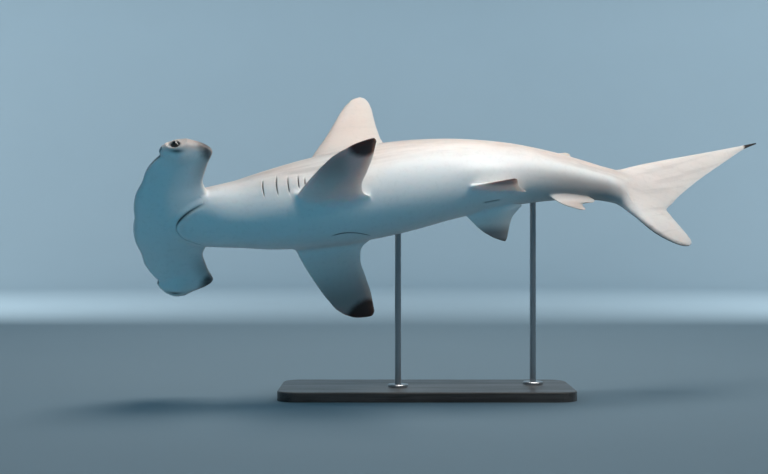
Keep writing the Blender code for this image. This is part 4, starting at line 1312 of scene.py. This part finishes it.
        shares = (where - where[0]) / (where[-1] - where[0])
        loops = fin.surface(self, shares)
        points = self.patch.points()
        start, leave = points[rim], points[rim] - points[outer]
        arrive = loops[1] - loops[0]
        gap = np.linalg.norm(loops[0] - start, axis=1)[:, None]
        leave = leave / np.linalg.norm(leave, axis=1)[:, None] * gap
        arrive = arrive / (np.linalg.norm(arrive, axis=1)[:, None] + 1e-9) * gap
        t = np.linspace(0, 1, 8)[1:-1, None, None]
        between = ((2 * t**3 - 3 * t**2 + 1) * start + (t**3 - 2 * t**2 + t) * leave
                   + (3 * t**2 - 2 * t**3) * loops[0] + (t**3 - t**2) * arrive)
        laid = self.patch.add(np.concatenate([between, loops]))
        self.patch.bands(np.concatenate([rim[None], laid]))
        self.patch.fold(laid[-1])
        self.patch.soften(outer, 0.5)
        self.patch.soften(rim, 0.8)
        self.patch.soften(laid[:7], 0.9)
        self.patch.soften(laid[7], 0.5)
        LOG.info("%s: %d loops of %d points", fin.name, len(laid), len(rim))

    def carve(self, mesh: bpy.types.Mesh) -> Array:
        """Presses the mouth, nostrils, gill slits and vent into the straight skin.

        Args:
            mesh: the straight skin, in metres.

        Returns:
            For each vertex, the painted shade in these grooves, in the furrow under
            each eye and in the ring round each eye.
        """
        points, normals = read(mesh) / TOTAL_LENGTH, read(mesh, "normal")
        x, y, z = points.T
        move, dark = np.zeros(len(x)), np.zeros(len(x))
        under = np.flatnonzero((normals[:, 2] < -0.15) & (x > 0.04) & (x < 0.13) & (np.abs(y) < 0.05))
        move[under], dark[under] = self.mouth.carve(x[under], y[under])
        flank = np.degrees(np.arctan2(z / self.trunk.high(x), np.abs(y) / self.trunk.wide(x)))
        neck = np.flatnonzero((x > 0.16) & (x < 0.26) & (np.abs(y) < 0.075) & (flank > -40) & (flank < 15))
        slit, black = self.gills.carve(x[neck], flank[neck])
        keep = ramp(points[neck, 0] * 0 + self.off_pectoral(points[neck]), 0.0, 0.006)
        move[neck] += slit * keep
        dark[neck] += black * keep
        ends = np.flatnonzero((x < 0.075) & (np.abs(y) > 0.06) & (normals[:, 2] < 0.75))
        pressed, black = self.nostrils.carve(points[ends], self.head)
        move[ends] += pressed
        dark[ends] += black
        # A shallow furrow under each eye, darkened with painted shade.
        furrow = hump(np.abs(y), 0.1142, 0.0024) * hump(x, 0.0590, 0.0085) * ramp(-normals[:, 2], 0.0, 0.5)
        move -= 0.0010 * furrow
        dark += 0.85 * furrow
        # Painted shade in a ring round each eye's lids.
        for eye in self.eyes:
            off = np.linalg.norm(points - eye.centre() - 0.0030 * eye.axis(), axis=1)
            dark += 0.75 * hump(off, 0.0060, 0.0014)
        section = np.degrees(np.arctan2(z / self.trunk.high(x), np.abs(y) / self.trunk.wide(x)))
        on_trunk = ramp(-np.hypot(y / self.trunk.wide(x), z / self.trunk.high(x)), -1.12, -1.04)
        move += 0.0030 * hump(section, -36.0, 13.0) * hump(x, 0.490, 0.030) * on_trunk
        belly = (z < 0) * ramp(x, *self.vent_ends(True)) * ramp(-x, *self.vent_ends(False))
        move -= 0.0011 * belly * hump(y, 0.0, 0.0011)
        move += 0.0005 * belly * hump(np.abs(y), 0.0034, 0.0020)
        # Painted shade in the vent's groove.
        dark += 0.8 * belly * hump(y, 0.0, 0.0012)
        write(mesh, (points + normals * move[:, None]) * TOTAL_LENGTH)
        return np.clip(dark, 0, 1)

    def off_pectoral(self, points: Array) -> Array:
        """How far points stand above the plane of the pectoral fins, where slits must stop."""
        side = np.where(points[:, 1] < 0, 0.2240, 0.2185)
        along = points[:, 0] - side
        level = -0.0332 - 0.16 * along
        return np.where(along > -0.004, points[:, 2] - level - 0.010, 1.0)

    def vent_ends(self, start: bool) -> tuple[float, float]:
        """The two places between which the vent's groove comes up at one end."""
        first, last = self.vent
        return (first - 0.003, first + 0.003) if start else (-last - 0.003, -last + 0.003)

    def marks(self, points: Array, normals: Array, dark: Array) -> dict[str, Array]:
        """What the paint reads: where each vertex is, and how it is marked.

        Formula: the back's shade rises with the height on the trunk's section, and on the
        paired fins with the normal's. The tips' shade rises over the last part of each fin;
        it also holds painted shade along the lower lobe's leading edge and on the right
        pectoral's rear margin. The blush lies on the fins, the head's ends and the gills, and
        on the fins it is partly painted glow of light through thin skin. The tone's third
        number is painted shade on the paired fins' undersides, along the rear edge of the
        head's ends, under the tail stock, and on the anal fin and the lower lobe's lower part.

        Args:
            points: the straight, carved points as shares of the length.
            normals: the straight surface's normals.
            dark: the painted shade in the carved marks.

        Returns:
            Rows of three numbers by name.
        """
        x, y, z = points.T
        within = np.clip(x, 0.10, 0.7165)
        level = z / self.trunk.high(within)
        off_body = np.hypot(y / self.trunk.wide(within), level)
        head = ramp(-x, -0.125, -0.100)
        upper = ramp(normals[:, 2], -0.35, 0.35)
        on_head = ramp((z + 0.0018 + 0.0012 * (y / 0.1224) ** 2) / 0.010, -0.9, 1.0)
        back = ramp(level, -0.55, 0.75) * (1 - head) + on_head * head
        paired = ramp(off_body, 1.05, 1.50) * (np.abs(y) > 0.02) * (x < 0.60) * (z < 0.02) * (1 - head)
        back = back * (1 - paired) + 0.70 * upper * paired
        tail = ramp(x, 0.685, 0.755)
        lower = ramp(x, 0.715, 0.750) * ramp(-z, 0.005, 0.060)
        back = back * (1 - tail) + (0.50 - 0.20 * lower) * tail
        reach = np.hypot(np.abs(y) - 0.0497, z + 0.0332)
        pectoral_out = paired * (x > 0.20) * (x < 0.36)
        apart = np.linalg.norm(np.stack([x - 0.3150 + 0.009 * np.sign(y), np.abs(y) - 0.1740,
                                         z + 0.0780], 1), axis=1)
        tip = ramp(-apart, -0.052, -0.014) * pectoral_out
        # The pectorals' rear margins are dusky; the right one's extra darkness is painted shade, as that
        # fin lies in the body's shadow.
        trailing = ramp(x - 0.222 + 0.0045 * np.sign(y) * reach / 0.13, 0.080, 0.100) * pectoral_out
        tip = np.maximum(tip, trailing * np.where(y > 0, 0.42, 0.22) * ramp(reach, 0.02, 0.05))
        tip = np.maximum(tip, ramp(x, 0.968, 0.984))
        pelvic_out = ramp(np.hypot(np.abs(y) - 0.0285, z + 0.050), 0.026, 0.044)
        tip = np.maximum(tip, 0.62 * pelvic_out * paired * (x > 0.44))
        # Painted shade along the lower lobe's leading edge, where it turns under.
        leading = z - curve(x, (0.719, 0.737, 0.7633, 0.790, 0.8075, 0.818),
                            (-0.030, -0.053, -0.0755, -0.087, -0.090, -0.0895))
        tip = np.maximum(tip, 0.46 * ramp(-leading, -0.014, 0.000) * lower * (x < 0.83) * (z < -0.028))
        corner = ramp(x + 0.35 * (np.abs(y) - 0.10), 0.074, 0.106) * ramp(np.abs(y), 0.070, 0.104)
        tip = np.maximum(tip, 0.64 * corner * head)
        blush_and_glow = hump(x, 0.21, 0.05) * ramp(level, -0.9, 0.0) * 0.5
        blush_and_glow = np.maximum(blush_and_glow, ramp(np.abs(y), 0.108, 0.120) * head)
        blush_and_glow = np.maximum(blush_and_glow, 0.55 * hump(level, 0.35, 0.30) * ramp(x, 0.27, 0.36) * (1 - tail))
        fin = ramp(np.abs(level), 1.05, 1.55) * (x > 0.13) * (np.abs(y) < 0.02)
        fin = np.maximum(np.maximum(fin, tail), paired)
        # On the fins the blush is partly painted glow of light through the thin skin; the anal fin's
        # strong peach is painted glow.
        blush_and_glow = np.maximum(blush_and_glow, fin * (0.8 - 0.55 * tail) * (1 - 0.35 * pectoral_out))
        anal = fin * (x > 0.57) * (x < 0.68) * (z < 0)
        blush_and_glow = np.maximum(blush_and_glow, 1.5 * anal)
        # Painted shade on the pectorals' undersides, less on the left one's rear web.
        under = pectoral_out * (1 - upper) * ramp(reach, 0.020, 0.100)
        web = ramp(x - 0.222 + 0.0045 * np.sign(y), 0.052, 0.080)
        under = under * (1 - 0.55 * web * (y < 0))
        # Painted shade on the pelvic fins' undersides.
        pelvic_in = ramp(np.hypot(np.abs(y) - 0.0285, z + 0.050), 0.012, 0.030)
        under = np.maximum(under, 1.25 * pelvic_in * (1 - upper) * paired * (x > 0.44))
        # Painted shade along the rear edge of the head's ends.
        rear = np.interp(np.abs(y), self.head.rear_y, self.head.rear_x) - x
        under = np.maximum(under, 0.7 * ramp(-rear, -0.026, -0.002) * ramp(np.abs(y), 0.040, 0.085) * head)
        # Painted shade under the tail stock, on the anal fin and on the lower lobe's lower part.
        stock_shade = ramp(x, 0.50, 0.64) * ramp(-x, -0.738, -0.712) * ramp(-level, 0.15, 0.80) * (1 - fin)
        under = np.maximum(np.maximum(under, 1.0 * stock_shade), 0.55 * anal)
        under = np.maximum(under, 0.32 * ramp(-z, 0.045, 0.090) * lower)
        return {
            "straight": points,
            # tone holds the blush with its painted glow, the fins' share and the painted shade.
            "paint": np.stack([back, tip, dark], 1),
            "tone": np.stack([blush_and_glow, fin, under], 1),
        }

    def build(self) -> bpy.types.Object:
        """Weaves, smooths, carves, marks and bends the skin."""
        upper, lower = self.weave_head()
        grid, rings = self.weave_trunk(upper, lower)
        sides = self.trunk.sides
        kept = np.ones((len(grid) - 1, sides), bool)
        for fin in self.fins:
            self.stitch(fin, grid, rings, kept)
        self.patch.sheet(np.concatenate([grid, grid[:, :1]], 1), kept)
        last = np.roll(grid[-1], -(sides // 4))
        self.patch.fold(last)
        made = self.patch.build("shark_skin")
        mesh = made.data
        edges = np.empty(len(mesh.edges) * 2, np.int32)
        mesh.edges.foreach_get("vertices", edges)
        edges = edges.reshape(-1, 2)
        points = smooth(read(mesh), edges, self.patch.softness(), 14)
        write(mesh, points * TOTAL_LENGTH)
        dark = self.carve(mesh)
        straight = read(mesh)
        for name, rows in self.marks(straight / TOTAL_LENGTH, read(mesh, "normal"), dark).items():
            add_marks(mesh, name, rows)
        write(mesh, self.spine.bend(straight))
        mesh.shade_smooth()
        return made


class Wire:
    """A socket of a shader, on which arithmetic adds Math nodes."""

    def __init__(self, shader: "Shader", socket: bpy.types.NodeSocket) -> None:
        """Wraps an output socket."""
        self.shader = shader
        self.socket = socket

    def _math(self, operation: str, *values: "Wire | float") -> "Wire":
        """One Math node on these values."""
        return self.shader.node("ShaderNodeMath", {"operation": operation}, dict(enumerate(values)))

    def __add__(self, other: "Wire | float") -> "Wire":
        """The sum."""
        return self._math("ADD", self, other)

    __radd__ = __add__

    def __mul__(self, other: "Wire | float") -> "Wire":
        """The product."""
        return self._math("MULTIPLY", self, other)

    __rmul__ = __mul__

    def __sub__(self, other: "Wire | float") -> "Wire":
        """The difference."""
        return self._math("SUBTRACT", self, other)

    def __rsub__(self, other: float) -> "Wire":
        """The difference the other way round."""
        return self._math("SUBTRACT", other, self)

    def __pow__(self, other: float) -> "Wire":
        """The power."""
        return self._math("POWER", self, other)

    def step(self, start: float, end: float) -> "Wire":
        """A smooth step from 0 at start to 1 at end."""
        return self.shader.node(
            "ShaderNodeMapRange", {"interpolation_type": "SMOOTHSTEP"},
            {"Value": self, "From Min": start, "From Max": end}, "Result")

    def most(self, other: "Wire | float") -> "Wire":
        """The greater of two."""
        return self._math("MAXIMUM", self, other)


class Shader:
    """A material under construction, whose nodes are added one call at a time."""

    def __init__(self, name: str) -> None:
        """Starts a material with its main shader."""
        self.material = bpy.data.materials.new(name)
        self.material.use_nodes = True
        self.tree = self.material.node_tree
        self.main = self.tree.nodes["Principled BSDF"]

    def node(self, kind: str, settings: dict[str, object], values: dict[int | str, object],
             output: int | str = 0) -> Wire:
        """Adds a node.

        Args:
            kind: its type.
            settings: its own settings, set first. stops are the colours of a ramp.
            values: numbers, colours or wires for its sockets.
            output: which of its outputs is meant.

        Returns:
            That output.
        """
        made = self.tree.nodes.new(kind)
        for key, value in settings.items():
            if key == "stops":
                while len(made.color_ramp.elements) < len(value):
                    made.color_ramp.elements.new(0.5)
                for element, (place, colour) in zip(made.color_ramp.elements, value):
                    element.position, element.color = place, (*colour, 1.0)
            else:
                setattr(made, key, value)
        for key, value in values.items():
            self.plug(made.inputs[key], value)
        return Wire(self, made.outputs[output])

    def plug(self, socket: bpy.types.NodeSocket, value: object) -> None:
        """Links a wire to a socket, or sets it to a number or colour."""
        if isinstance(value, Wire):
            self.tree.links.new(value.socket, socket)
        elif isinstance(value, tuple) and len(value) == 3 and socket.type == "RGBA":
            socket.default_value = (*value, 1.0)
        else:
            socket.default_value = value

    def finish(self, **values: object) -> bpy.types.Material:
        """Sets the main shader's sockets, with _ for a space in their names."""
        for key, value in values.items():
            self.plug(self.main.inputs[key.replace("_", " ")], value)
        return self.material

    def attribute(self, name: str) -> Wire:
        """The three numbers of a named attribute."""
        return self.node("ShaderNodeAttribute", {"attribute_name": name}, {}, "Vector")

    def parts(self, vector: Wire) -> tuple[Wire, Wire, Wire]:
        """The three numbers of a vector."""
        split = self.node("ShaderNodeSeparateXYZ", {}, {0: vector})
        outputs = split.socket.node.outputs
        return Wire(self, outputs[0]), Wire(self, outputs[1]), Wire(self, outputs[2])

    def place(self) -> Wire:
        """Object coordinates."""
        return self.node("ShaderNodeTexCoord", {}, {}, "Object")

    def scaled(self, vector: Wire, scale: tuple[float, float, float],
               turn: tuple[float, float, float] = (0.0, 0.0, 0.0)) -> Wire:
        """A vector, turned and stretched by a Mapping node."""
        return self.node("ShaderNodeMapping", {}, {"Vector": vector, "Scale": scale, "Rotation": turn})

    def noise(self, vector: Wire, scale: float, detail: float = 3.0, rough: float = 0.55) -> Wire:
        """Soft noise about 0.5."""
        return self.node("ShaderNodeTexNoise", {},
                         {"Vector": vector, "Scale": scale, "Detail": detail, "Roughness": rough})

    def cells(self, vector: Wire, scale: float) -> Wire:
        """Distance to the nearest of scattered points."""
        return self.node("ShaderNodeTexVoronoi", {}, {"Vector": vector, "Scale": scale})

    def mix(self, factor: Wire | float, first: object, second: object) -> Wire:
        """A colour between two."""
        return self.node("ShaderNodeMix", {"data_type": "RGBA"}, {0: factor, 6: first, 7: second}, 2)

    def bump(self, height: Wire, strength: float, distance: float, under: Wire | None = None) -> Wire:
        """A normal raised by a height."""
        values: dict[int | str, object] = {"Height": height, "Strength": strength, "Distance": distance}
        if under is not None:
            values["Normal"] = under
        return self.node("ShaderNodeBump", {}, values)


@dataclass(frozen=True)
class SkinFinish:
    """Shark skin: a pale warm grey back, a white belly, dark tips and fine denticles, with painted shade
    in its grooves and under its fins and tail stock, and a blush that is partly painted glow.
    """

    back: tuple[float, float, float] = (0.600, 0.560, 0.525)
    flank: tuple[float, float, float] = (0.735, 0.700, 0.670)
    belly: tuple[float, float, float] = (0.800, 0.800, 0.785)
    # Warm tone, partly painted glow of light through the thin fins.
    blush_and_glow: tuple[float, float, float] = (0.700, 0.520, 0.430)
    # Dusky streaks and rays, and painted shade under the fins and tail stock.
    dusk_and_shade: tuple[float, float, float] = (0.300, 0.265, 0.250)
    tip: tuple[float, float, float] = (0.010, 0.010, 0.012)
    # Painted shade in the grooves, the eye furrows and the pectoral's crease.
    groove_shade: tuple[float, float, float] = (0.020, 0.017, 0.017)
    roughness: float = 0.44

    def material(self) -> bpy.types.Material:
        """The skin's material, which reads the skin's own attributes."""
        make = Shader("shark_skin_finish")
        straight = make.attribute("straight")
        back, tip, dark = make.parts(make.attribute("paint"))
        blush_and_glow, fin, under = make.parts(make.attribute("tone"))
        along, across, height = make.parts(straight)
        streaks = make.noise(make.scaled(straight, (4.2, 40.0, 40.0)), 1.0, 4.0, 0.6)
        lines = make.noise(make.scaled(straight, (3.2, 95.0, 95.0)), 1.0, 3.0, 0.55)
        turned = make.scaled(straight, (1.0, 1.0, 1.0), (0.0, 0.47, 0.0))
        rays = make.noise(make.scaled(turned, (6.0, 30.0, 80.0)), 1.0, 3.0, 0.55)
        clouds = make.noise(straight, 16.0, 4.0, 0.55)
        grain = make.noise(straight, 170.0, 3.0, 0.6)
        banded = along.step(0.13, 0.20) * back.step(0.05, 0.45) * (1.0 - fin * 0.75)
        shade = back + (clouds - 0.5) * 0.25 + (streaks - 0.5) * banded * 0.60
        colour = make.mix(shade.step(0.02, 0.48), self.belly, self.flank)
        colour = make.mix(shade.step(0.42, 1.00), colour, self.back)
        # Warm blush, partly painted glow of light through the thin fins.
        colour = make.mix(blush_and_glow * 0.55 * (0.45 + streaks), colour, self.blush_and_glow)
        colour = make.mix(streaks.step(0.48, 0.68) * banded * 0.30, colour, self.dusk_and_shade)
        colour = make.mix(lines.step(0.50, 0.70) * banded * 0.24, colour, self.dusk_and_shade)
        colour = make.mix(rays.step(0.48, 0.70) * along.step(0.72, 0.78) * 0.20, colour, self.dusk_and_shade)
        # Painted shade on the paired fins' undersides, the head's rear edges, under the tail stock and on
        # the anal fin and lower lobe.
        colour = make.mix(under * 0.84, colour, self.dusk_and_shade)
        colour = make.mix(grain.step(0.50, 0.72) * 0.08, colour, (0.25, 0.23, 0.22))
        # Black fin tips, with painted shade on the lower lobe's leading edge and the right pectoral's rear
        # margin.
        ragged = tip + (clouds - 0.5) * 0.40 + (grain - 0.5) * 0.12
        colour = make.mix(ragged.step(0.26, 0.76) * 0.97, colour, self.tip)
        # Painted shade in the crease where the right pectoral folds against the belly.
        off = across + 0.0031 - (along - 0.281) ** 2.0 * 11.5
        fold = (1.0 - (off * off).step(0.0, 0.0000022)) * along.step(0.262, 0.272)
        fold = fold * (1.0 - along.step(0.312, 0.322)) * (1.0 - height.step(-0.045, -0.030))
        colour = make.mix(fold * 0.80, colour, self.groove_shade)
        # Painted shade in the carved grooves, the furrows under the eyes and the rings round the lids.
        colour = make.mix(dark * 0.95, colour, self.groove_shade)
        denticles = make.cells(make.scaled(straight, (0.62, 1.0, 1.0)), 1500.0)
        relief = make.bump(denticles, 0.05, 0.0006)
        relief = make.bump(grain, 0.05, 0.0016, relief)
        relief = make.bump(streaks, 0.10, 0.0030, relief)
        relief = make.bump(fold * -1.0, 0.6, 0.0030, relief)
        rough = self.roughness + (clouds - 0.5) * 0.14 + (grain - 0.5) * 0.10
        make.main.inputs["Subsurface Radius"].default_value = (1.0, 0.55, 0.42)
        return make.finish(Base_Color=colour, Roughness=rough, Normal=relief, Specular_IOR_Level=0.42,
                           Coat_Weight=0.14, Coat_Roughness=0.34, Coat_IOR=1.36,
                           Subsurface_Weight=0.28, Subsurface_Scale=0.034)


@dataclass(frozen=True)
class EyeFinish:
    """A wet dark eye: black pupil, a narrow brown iris and a pale rim behind it."""

    pupil: tuple[float, float, float] = (0.003, 0.003, 0.004)
    iris: tuple[float, float, float] = (0.030, 0.023, 0.017)
    rim: tuple[float, float, float] = (0.008, 0.007, 0.007)

    def material(self) -> bpy.types.Material:
        """The eye's material, which reads the angle from the eye's axis."""
        make = Shader("eye_finish")
        gaze = make.attribute("gaze")
        ahead, up, out = make.parts(gaze)
        off = (ahead * ahead + up * up) ** 0.5
        threads = make.noise(make.scaled(gaze, (9.0, 9.0, 2.0)), 2.5, 4.0, 0.6)
        iris = make.mix(threads.step(0.35, 0.70), self.iris, (0.060, 0.046, 0.032))
        colour = make.mix((off + (threads - 0.5) * 0.02).step(0.46, 0.52), self.pupil, iris)
        colour = make.mix(off.step(0.66, 0.78), colour, self.rim)
        return make.finish(Base_Color=colour, Roughness=0.06, Specular_IOR_Level=0.6,
                           Coat_Weight=1.0, Coat_Roughness=0.02)


@dataclass(frozen=True)
class PlateFinish:
    """Oak stained charcoal, with a satin lacquer."""

    light: tuple[float, float, float] = (0.105, 0.098, 0.092)
    deep: tuple[float, float, float] = (0.040, 0.037, 0.035)

    def material(self) -> bpy.types.Material:
        """The base plate's material, with its grain along x."""
        make = Shader("stained_oak")
        place = make.place()
        wander = make.noise(make.scaled(place, (1.2, 7.0, 7.0)), 1.6, 3.0)
        long = make.scaled(place, (2.2, 60.0, 60.0))
        grain = make.noise(long, 1.4, 6.0, 0.62)
        pores = make.noise(make.scaled(place, (9.0, 420.0, 420.0)), 1.0, 2.0)
        bands = (grain * 0.65 + wander * 0.55).step(0.44, 0.78)
        colour = make.mix(bands, self.light, self.deep)
        colour = make.mix(pores.step(0.56, 0.66) * 0.55, colour, (0.016, 0.014, 0.013))
        relief = make.bump(pores.step(0.52, 0.66) * -1.0, 0.22, 0.0006)
        relief = make.bump(grain, 0.10, 0.0008, relief)
        return make.finish(Base_Color=colour, Roughness=0.38 + bands * 0.12, Normal=relief,
                           Coat_Weight=0.25, Coat_Roughness=0.22)


@dataclass(frozen=True)
class SteelFinish:
    """Steel brushed round each rod."""

    bright: tuple[float, float, float] = (0.60, 0.61, 0.62)
    dull: tuple[float, float, float] = (0.44, 0.45, 0.46)

    def material(self) -> bpy.types.Material:
        """The rods' material, with its brushing along z turned into fine rings."""
        make = Shader("brushed_steel")
        place = make.place()
        rings = make.noise(make.scaled(place, (6.0, 6.0, 1600.0)), 1.0, 2.0)
        smear = make.noise(make.scaled(place, (14.0, 14.0, 5.0)), 1.0, 3.0)
        colour = make.mix(rings * 0.6 + smear * 0.4, self.dull, self.bright)
        relief = make.bump(rings, 0.10, 0.0002)
        return make.finish(Base_Color=colour, Roughness=0.24 + rings * 0.16 + smear * 0.08,
                           Metallic=1.0, Normal=relief)


@dataclass(frozen=True)
class Studio:
    """The plain floor and backdrop, the soft lights and the camera."""

    camera_at: tuple[float, float, float] = (-0.1321, -4.0488, 0.5003)
    lens: float = 60.0

    def bowl(self) -> bpy.types.Object:
        """A pale round floor that curves up into a wall on all sides.

        Formula: the profile runs flat to a radius of 9, turns up through a quarter circle of
        radius 3 and goes straight up. It is carried round the z axis.

        Returns:
            The floor's object.
        """
        turn = np.linspace(0, math.pi / 2, 25)
        reach = np.concatenate([[1.0, 5.0], 9.0 + 3.0 * np.sin(turn), [12.0]])
        z = np.concatenate([[0.0, 0.0], 3.0 - 3.0 * np.cos(turn), [9.0]])
        around = np.arange(96) * 2 * math.pi / 96
        points = np.stack(np.broadcast_arrays(
            reach[:, None] * np.cos(around), reach[:, None] * np.sin(around), z[:, None]), -1)
        grid = np.arange(points[..., 0].size).reshape(points.shape[:2])
        ring = np.concatenate([grid, grid[:, :1]], 1)
        faces = np.stack([ring[:-1, :-1], ring[1:, :-1], ring[1:, 1:], ring[:-1, 1:]], -1)
        mesh = bpy.data.meshes.new("floor")
        mesh.from_pydata(points.reshape(-1, 3), [], faces.reshape(-1, 4).tolist() + [grid[0].tolist()])
        mesh.shade_smooth()
        make = Shader("pale_floor")
        cloud = make.noise(make.place(), 0.8, 2.0)
        tone = make.mix(cloud, (0.45, 0.59, 0.67), (0.48, 0.62, 0.70))
        mesh.materials.append(make.finish(Base_Color=tone, Roughness=0.85))
        made = bpy.data.objects.new("floor", mesh)
        bpy.context.scene.collection.objects.link(made)
        return made

    def lamp(self, name: str, at: tuple[float, float, float], target: tuple[float, float, float],
             size: tuple[float, float], power: float, colour: tuple[float, float, float],
             only: list[bpy.types.Object] | None = None) -> None:
        """Adds a soft rectangular light.

        Args:
            name: its name.
            at: where it stands.
            target: the point it faces.
            size: its two sides.
            power: in watts.
            colour: its tint.
            only: the objects that it lights. All of them, if left out.
        """
        lamp = bpy.data.lights.new(name, "AREA")
        lamp.shape, lamp.size, lamp.size_y = "RECTANGLE", *size
        lamp.energy, lamp.color = power, colour
        made = bpy.data.objects.new(name, lamp)
        way = np.array(target) - np.array(at)
        made.location = at
        flat = math.hypot(way[0], way[1])
        made.rotation_euler = (math.atan2(flat, -way[2]), 0.0, math.atan2(-way[0], way[1]))
        made.visible_camera = False
        bpy.context.scene.collection.objects.link(made)
        if only:
            group = bpy.data.collections.new(f"lit_by_{name}")
            for piece in only:
                group.objects.link(piece)
            made.light_linking.receiver_collection = group
            made.visible_glossy = name != "fill"

    def build(self, pieces: list[bpy.types.Object]) -> None:
        """Makes the floor, the lights, the surroundings and the camera.

        Args:
            pieces: the model's objects, which the near key light keeps to.
        """
        bpy.context.scene.view_settings.view_transform = "Standard"
        self.bowl()
        self.lamp("key", (0.95, -0.60, 2.03), (0.95, 0.0, 0.62), (2.9, 0.4), 40.0, (1.0, 0.955, 0.915),
                  pieces)
        self.lamp("fill", (-1.2, -3.6, 0.20), (0.0, 0.0, 0.60), (2.0, 1.0), 29.0, (0.0, 0.60, 1.0),
                  pieces[:3])
        self.lamp("soft", (0.3, 1.5, 6.0), (0.3, 0.0, 0.0), (3.0, 3.0), 100.0, (1.0, 0.98, 0.96))
        for x in (-4.5, 4.5):
            self.lamp("wall", (x, 3.4, 3.0), (x, 12.0, 2.4), (4.0, 2.0), 260.0, (0.96, 0.98, 1.0))
        world = bpy.data.worlds.new("surroundings")
        world.use_nodes = True
        back = world.node_tree.nodes["Background"]
        back.inputs["Color"].default_value = (0.35, 0.75, 1.0, 1.0)
        back.inputs["Strength"].default_value = 0.10
        bpy.context.scene.world = world
        data = bpy.data.cameras.new("camera")
        data.lens, data.sensor_width = self.lens, 36.0
        camera = bpy.data.objects.new("camera", data)
        camera.location = self.camera_at
        camera.rotation_euler = (math.pi / 2, 0.0, 0.0)
        bpy.context.scene.collection.objects.link(camera)
        bpy.context.scene.camera = camera


def dress(frame: dict) -> list[bpy.types.Object]:
    """Builds every piece and hangs it on the frame.

    Args:
        frame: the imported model's bodies and nodes.

    Returns:
        The objects that show.
    """
    skin = Skin()
    hide = skin.build()
    hide.data.materials.append(SkinFinish().material())
    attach(hide, "root")
    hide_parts("head", "neck", "torso", "abdomen", "tail_stock", "caudal_upper_lobe",
                "caudal_lower_lobe", "first_dorsal_fin", "second_dorsal_fin", "pectoral_fin_left",
                "pectoral_fin_right", "pelvic_fin_left", "pelvic_fin_right", "anal_fin")
    shown = [hide]
    wet = EyeFinish().material()
    for eye in skin.eyes:
        ball = eye.ball(skin)
        ball.data.materials.append(wet)
        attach(ball, "root")
        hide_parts(f"eye_{eye.side.name.lower()}")
        shown.append(ball)
        LOG.info("%s built", ball.name)
    finishes = {"stand_base": PlateFinish().material()}
    steel = SteelFinish().material()
    finishes.update({"stand_rod_front": steel, "stand_rod_rear": steel})
    for name, finish in finishes.items():
        for slot in frame["nodes"][name].material_slots:
            slot.material = finish
        shown.append(frame["nodes"][name])
        LOG.info("%s dressed", name)
    return shown


def main() -> None:
    logging.basicConfig(level=logging.INFO, format="%(message)s")
    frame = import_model()
    Studio().build(dress(frame))


if __name__ == "__main__":
    main()
